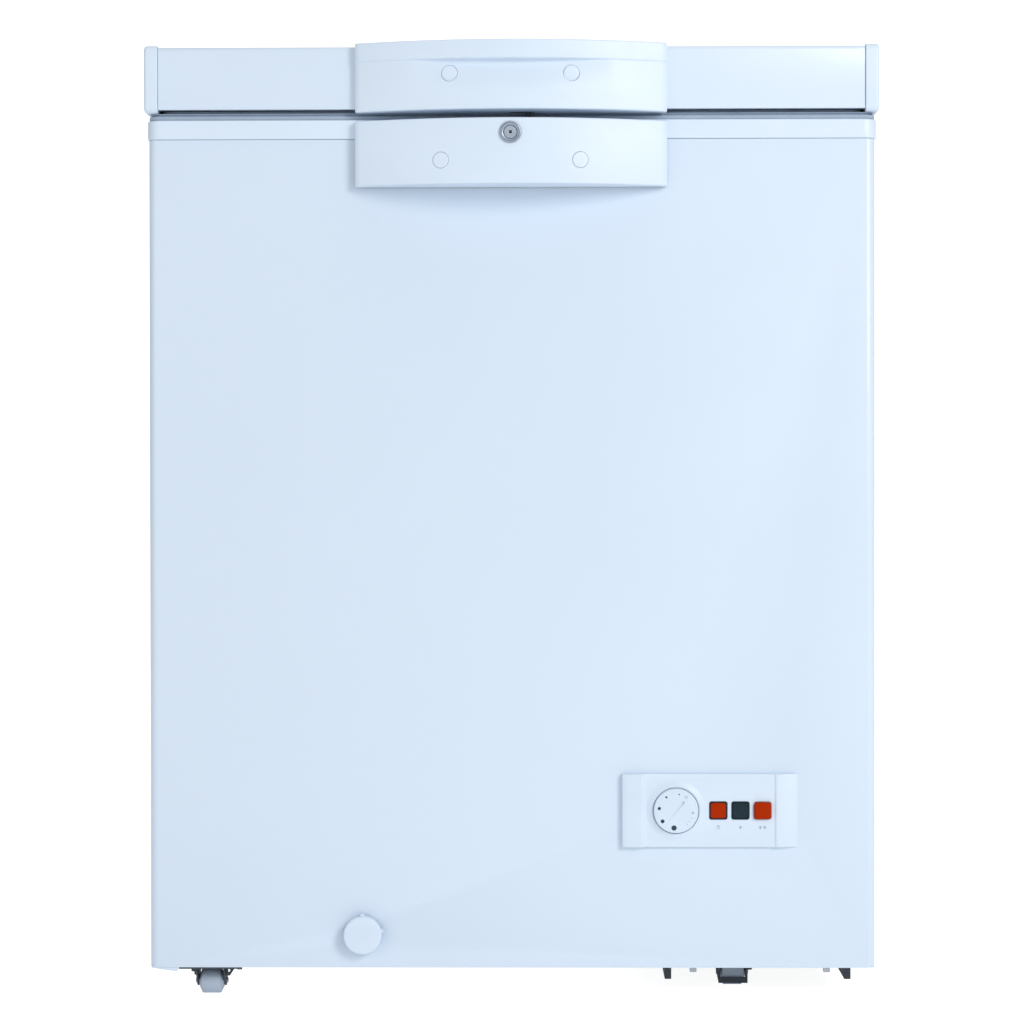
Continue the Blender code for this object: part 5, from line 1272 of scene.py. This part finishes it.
def roller(name):
    """Moulded roller with conical shoulders and a bored hub."""
    centre, half, r = round_part(f"wheel_{name}")
    bore = 0.0030
    shoulder = -half + 0.0027
    profile = [(bore, -half + 0.0004), (bore + 0.0004, -half), (r * 0.50, -half), (r * 0.54, -half + 0.0003)]
    profile += [(r - 0.0008, shoulder - 0.0003), (r - 0.0003, shoulder), (r, shoulder + 0.0006), (r, 0.0)]
    profile += [(radius, -height) for radius, height in profile[:-1]][::-1]
    wheel = turned(profile, centre, (1, 0, 0), 64, bored=True)
    piece(f"roller_{name}", wheel, "grey_plastic", f"roller_{name}", (f"wheel_{name}",))


def axle(name):
    centre, half, r = round_part(f"caster_axle_{name}")
    profile = [(r * 0.70, -half), (r, -half + 0.0005), (r, half - 0.0005), (r * 0.70, half)]
    piece(f"axle_{name}", turned(profile, centre, (1, 0, 0), 32), "screw", replaces=(f"caster_axle_{name}",))


def running_gear():
    for name in CORNERS:
        roller(name)
        axle(name)
        dress(f"caster_bracket_{name}", "dark_steel", 0.00035)
    mounting_screws()
    fork_ribs()
    right_fork_trim()


def mounting_screws():
    """Two hexagon heads under each fork's plate."""
    heads = []
    for name in CORNERS:
        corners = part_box(f"caster_bracket_{name}")
        x, y = middle(corners, "x"), middle(corners, "y")
        under = corners[1].z - 0.0016 * 0.7 - 0.0002
        for sign in (-1, 1):
            heads.append(hex_head((x + sign * 0.0225, y, under), (0, 0, -1), 0.0030, 0.0026))
    piece("caster_screws", together(*heads), "screw", edge=0.0002, segments=1)


def fork_ribs():
    """A stepped tab and a pierced gusset beside each fork, and the lip of the front left plate."""
    clearance = 0.0021  # of the cheeks outside the roller
    ribs = []
    holes = []
    for name in CORNERS:
        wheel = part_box(f"wheel_{name}")
        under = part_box(f"caster_bracket_{name}")[1].z - 0.0012
        flank, outer = wheel[1].x + clearance, wheel[0].x - clearance
        end = -1 if name.startswith("front") else 1
        y = sorted((middle(wheel, "y") + end * 0.0105, middle(wheel, "y") + end * 0.0119))
        low = under - 0.0085
        gusset = [(flank, under), (flank + 0.0095, under), (flank + 0.0040, low), (flank, low)]
        tab = [(outer - 0.0045, under), (outer, under), (outer, under - 0.0080)]
        tab.append((outer - 0.0018, under - 0.0075))
        tab += [(outer - 0.0018, under - 0.0050), (outer - 0.0045, under - 0.0045)]
        ribs += [prism(gusset, "Y", *y), prism(tab, "Y", *y)]
        if name.endswith("left"):
            ribs.append(box((flank + 0.0105, flank + 0.0150), y, (under - 0.0030, under)))
        spot = (flank + 0.0030, middle(wheel, "y"), under - 0.0038)
        holes.append(rod(spot, (0, 1, 0), 0.0013, -0.02, 0.02, 24))
    item = new_object("fork_ribs", together(*ribs))
    combine(item, together(*holes))
    finish_piece(item, "dark_steel", edge=0.00025, segments=2)
    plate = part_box("caster_bracket_front_left")
    z = (WRAP[0].z - 0.0016, WRAP[0].z - 0.0002)
    lip = box((plate[0].x + 0.002, plate[1].x), (FRONT + SHEET + GAP, plate[0].y), z)
    piece("caster_plate_lip", lip, "dark_steel", edge=0.0003, segments=2)


def right_fork_trim():
    """Grey moulding behind the low bar of each right-hand fork."""
    for name, sign in (("front_right", -1), ("rear_right", 1)):
        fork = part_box(f"caster_bracket_{name}")
        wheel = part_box(f"wheel_{name}")
        front = fork[0].y if sign < 0 else fork[1].y
        x = (wheel[0].x + 0.0012, wheel[1].x - 0.0012)
        z = (0.0102, fork[1].z - 0.0032)
        centre = ((x[0] + x[1]) / 2, (z[0] + z[1]) / 2)
        outline = rounded((x[1] - x[0]) / 2, (z[1] - z[0]) / 2, 0.0012, centre, 4)
        cover = prism(outline, "Y", *sorted((front - sign * 0.0022, front - sign * 0.0034)))
        piece(f"fork_cover_{name}", cover, "grey_plastic", edge=0.0003, segments=2)


# Hinges


def hinges():
    base_spots = []
    arm_spots = []
    for side in SIDES:
        base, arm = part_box(f"hinge_base_{side}"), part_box(f"hinge_arm_{side}")
        dress(f"hinge_base_{side}", "galvanised", 0.0003)
        dress(f"hinge_arm_{side}", "galvanised", 0.0003)
        dress(f"hinge_pin_{side}", "chrome", 0.0002)
        for offset in (-0.0095, 0.0095):
            base_spots.append((middle(base, "x") + offset, base[0].y + 0.0020, base[0].z + 0.018))
            arm_spots.append((middle(arm, "x") + offset, arm[0].y + 0.0020, arm[1].z - 0.010))
    screw_row("hinge_base_screws", base_spots, (0, 1, 0), "cabinet", 0.0034, 0.0018)
    screw_row("hinge_arm_screws", arm_spots, (0, 1, 0), "lid", 0.0034, 0.0018)


def dress_plain_nodes():
    for node, style, edge in (
        ("back_panel", "galvanised", 0.0),
        ("bottom_panel", "galvanised", 0.0),
        ("foam_insulation", "foam", 0.0),
        ("lid_foam", "foam", 0.0),
        ("evaporator_coil", "plain_aluminium", 0.0),
        ("condenser_coil", "copper", 0.0),
        ("compressor_tray", "dark_steel", 0.0005),
        ("filter_drier", "copper", 0.0),
        ("discharge_pipe", "copper", 0.0),
        ("suction_pipe", "copper", 0.0),
        ("rear_grille", "galvanised", 0.0),
        ("thermostat", "galvanised", 0.0004),
        ("switch_body", "dark_plastic", 0.0004),
        ("lock_keeper", "dark_steel", 0.0003),
        ("lock_cam", "lock_metal", 0.0003),
    ):
        dress(node, style, edge)


# Setting


def add_light(name, place_at, target, size, power, colour=(1.0, 1.0, 1.0)):
    data = bpy.data.lights.new(name, "AREA")
    data.shape = "RECTANGLE"
    data.size, data.size_y = size
    data.energy = power
    data.color = colour
    lamp = bpy.data.objects.new(name, data)
    lamp.location = place_at
    lamp.rotation_euler = (Vector(target) - Vector(place_at)).to_track_quat("-Z", "Y").to_euler()
    bpy.context.scene.collection.objects.link(lamp)


def studio():
    centre = (0.0, FRONT, 0.45)
    add_light("key", (2.3, -3.1, 1.9), centre, (1.3, 1.3), KEY_POWER)
    add_light("fill", (-2.6, -3.0, 1.2), centre, (2.0, 2.0), FILL_POWER, (0.93, 0.97, 1.0))
    add_light("top", (0.2, -0.4, 3.4), (0.0, 0.0, 0.8), (2.4, 2.4), TOP_POWER)


def world():
    """White backdrop, and a dimmer even light from all round."""
    setting = bpy.data.worlds.new("studio")
    bpy.context.scene.world = setting
    setting.use_nodes = True
    nodes, links = setting.node_tree.nodes, setting.node_tree.links
    background = nodes["Background"]
    background.inputs["Color"].default_value = (0.97, 0.985, 1.0, 1.0)
    background.inputs["Strength"].default_value = AMBIENT
    backdrop = nodes.new("ShaderNodeBackground")
    backdrop.inputs["Color"].default_value = (1.0, 1.0, 1.0, 1.0)
    backdrop.inputs["Strength"].default_value = 1.2
    seen = nodes.new("ShaderNodeLightPath")
    mixer = nodes.new("ShaderNodeMixShader")
    links.new(seen.outputs["Is Camera Ray"], mixer.inputs["Fac"])
    links.new(background.outputs["Background"], mixer.inputs[1])
    links.new(backdrop.outputs["Background"], mixer.inputs[2])
    links.new(mixer.outputs["Shader"], nodes["World Output"].inputs["Surface"])


def floor():
    """Pale floor that glows a little, so that only a soft contact shadow shows."""
    material, shader = new_material("studio_floor", specular=0.1)
    tone = blend_colours(material, noise(material, 3.0), (0.88, 0.88, 0.88), (0.90, 0.90, 0.90))
    gloss = spread(material, noise(material, 8.0), 0.85, 0.95)
    connect(material, shader, tone, gloss, bump(material, noise(material, 40.0), 0.00001))
    nodes, links = links_of(material)
    seen = nodes.new("ShaderNodeLightPath")
    shader.inputs["Emission Color"].default_value = (1.0, 1.0, 1.0, 1.0)
    glow = spread(material, seen.outputs["Is Camera Ray"], FLOOR_BOUNCE, FLOOR_GLOW, 0.0, 1.0)
    links.new(glow, shader.inputs["Emission Strength"])
    plate = new_object("studio_floor", box((-40.0, 40.0), (-40.0, 40.0), (-0.02, 0.0)))
    plate.data.materials.append(material)


def camera():
    data = bpy.data.cameras.new("camera")
    data.lens = 118.42
    data.sensor_width = 36.0
    eye = bpy.data.objects.new("camera", data)
    turn = Matrix.Rotation(math.radians(0.887), 4, "Z")
    pitch = Matrix.Rotation(math.radians(90 - 0.465), 4, "X")
    roll = Matrix.Rotation(math.radians(-0.073), 4, "Z")
    eye.matrix_world = Matrix.Translation((0.0468, FRONT - 3.0, 0.4577)) @ turn @ pitch @ roll
    bpy.context.scene.collection.objects.link(eye)
    bpy.context.scene.camera = eye


def build():
    wrapper()
    front_flanges()
    rim()
    liner()
    back_fasteners()
    louvres()
    compressor()
    tray_bolts()
    gland()
    lid_skin()
    lid_caps()
    gasket()
    lid_pan()
    handle()
    housing()
    lock()
    control_panel()
    lamps()
    button()
    dial()
    panel_symbols()
    drain()
    stopper()
    running_gear()
    hinges()
    dress_plain_nodes()


build()
camera()
studio()
world()
floor()
bpy.context.scene.view_settings.view_transform = "Standard"
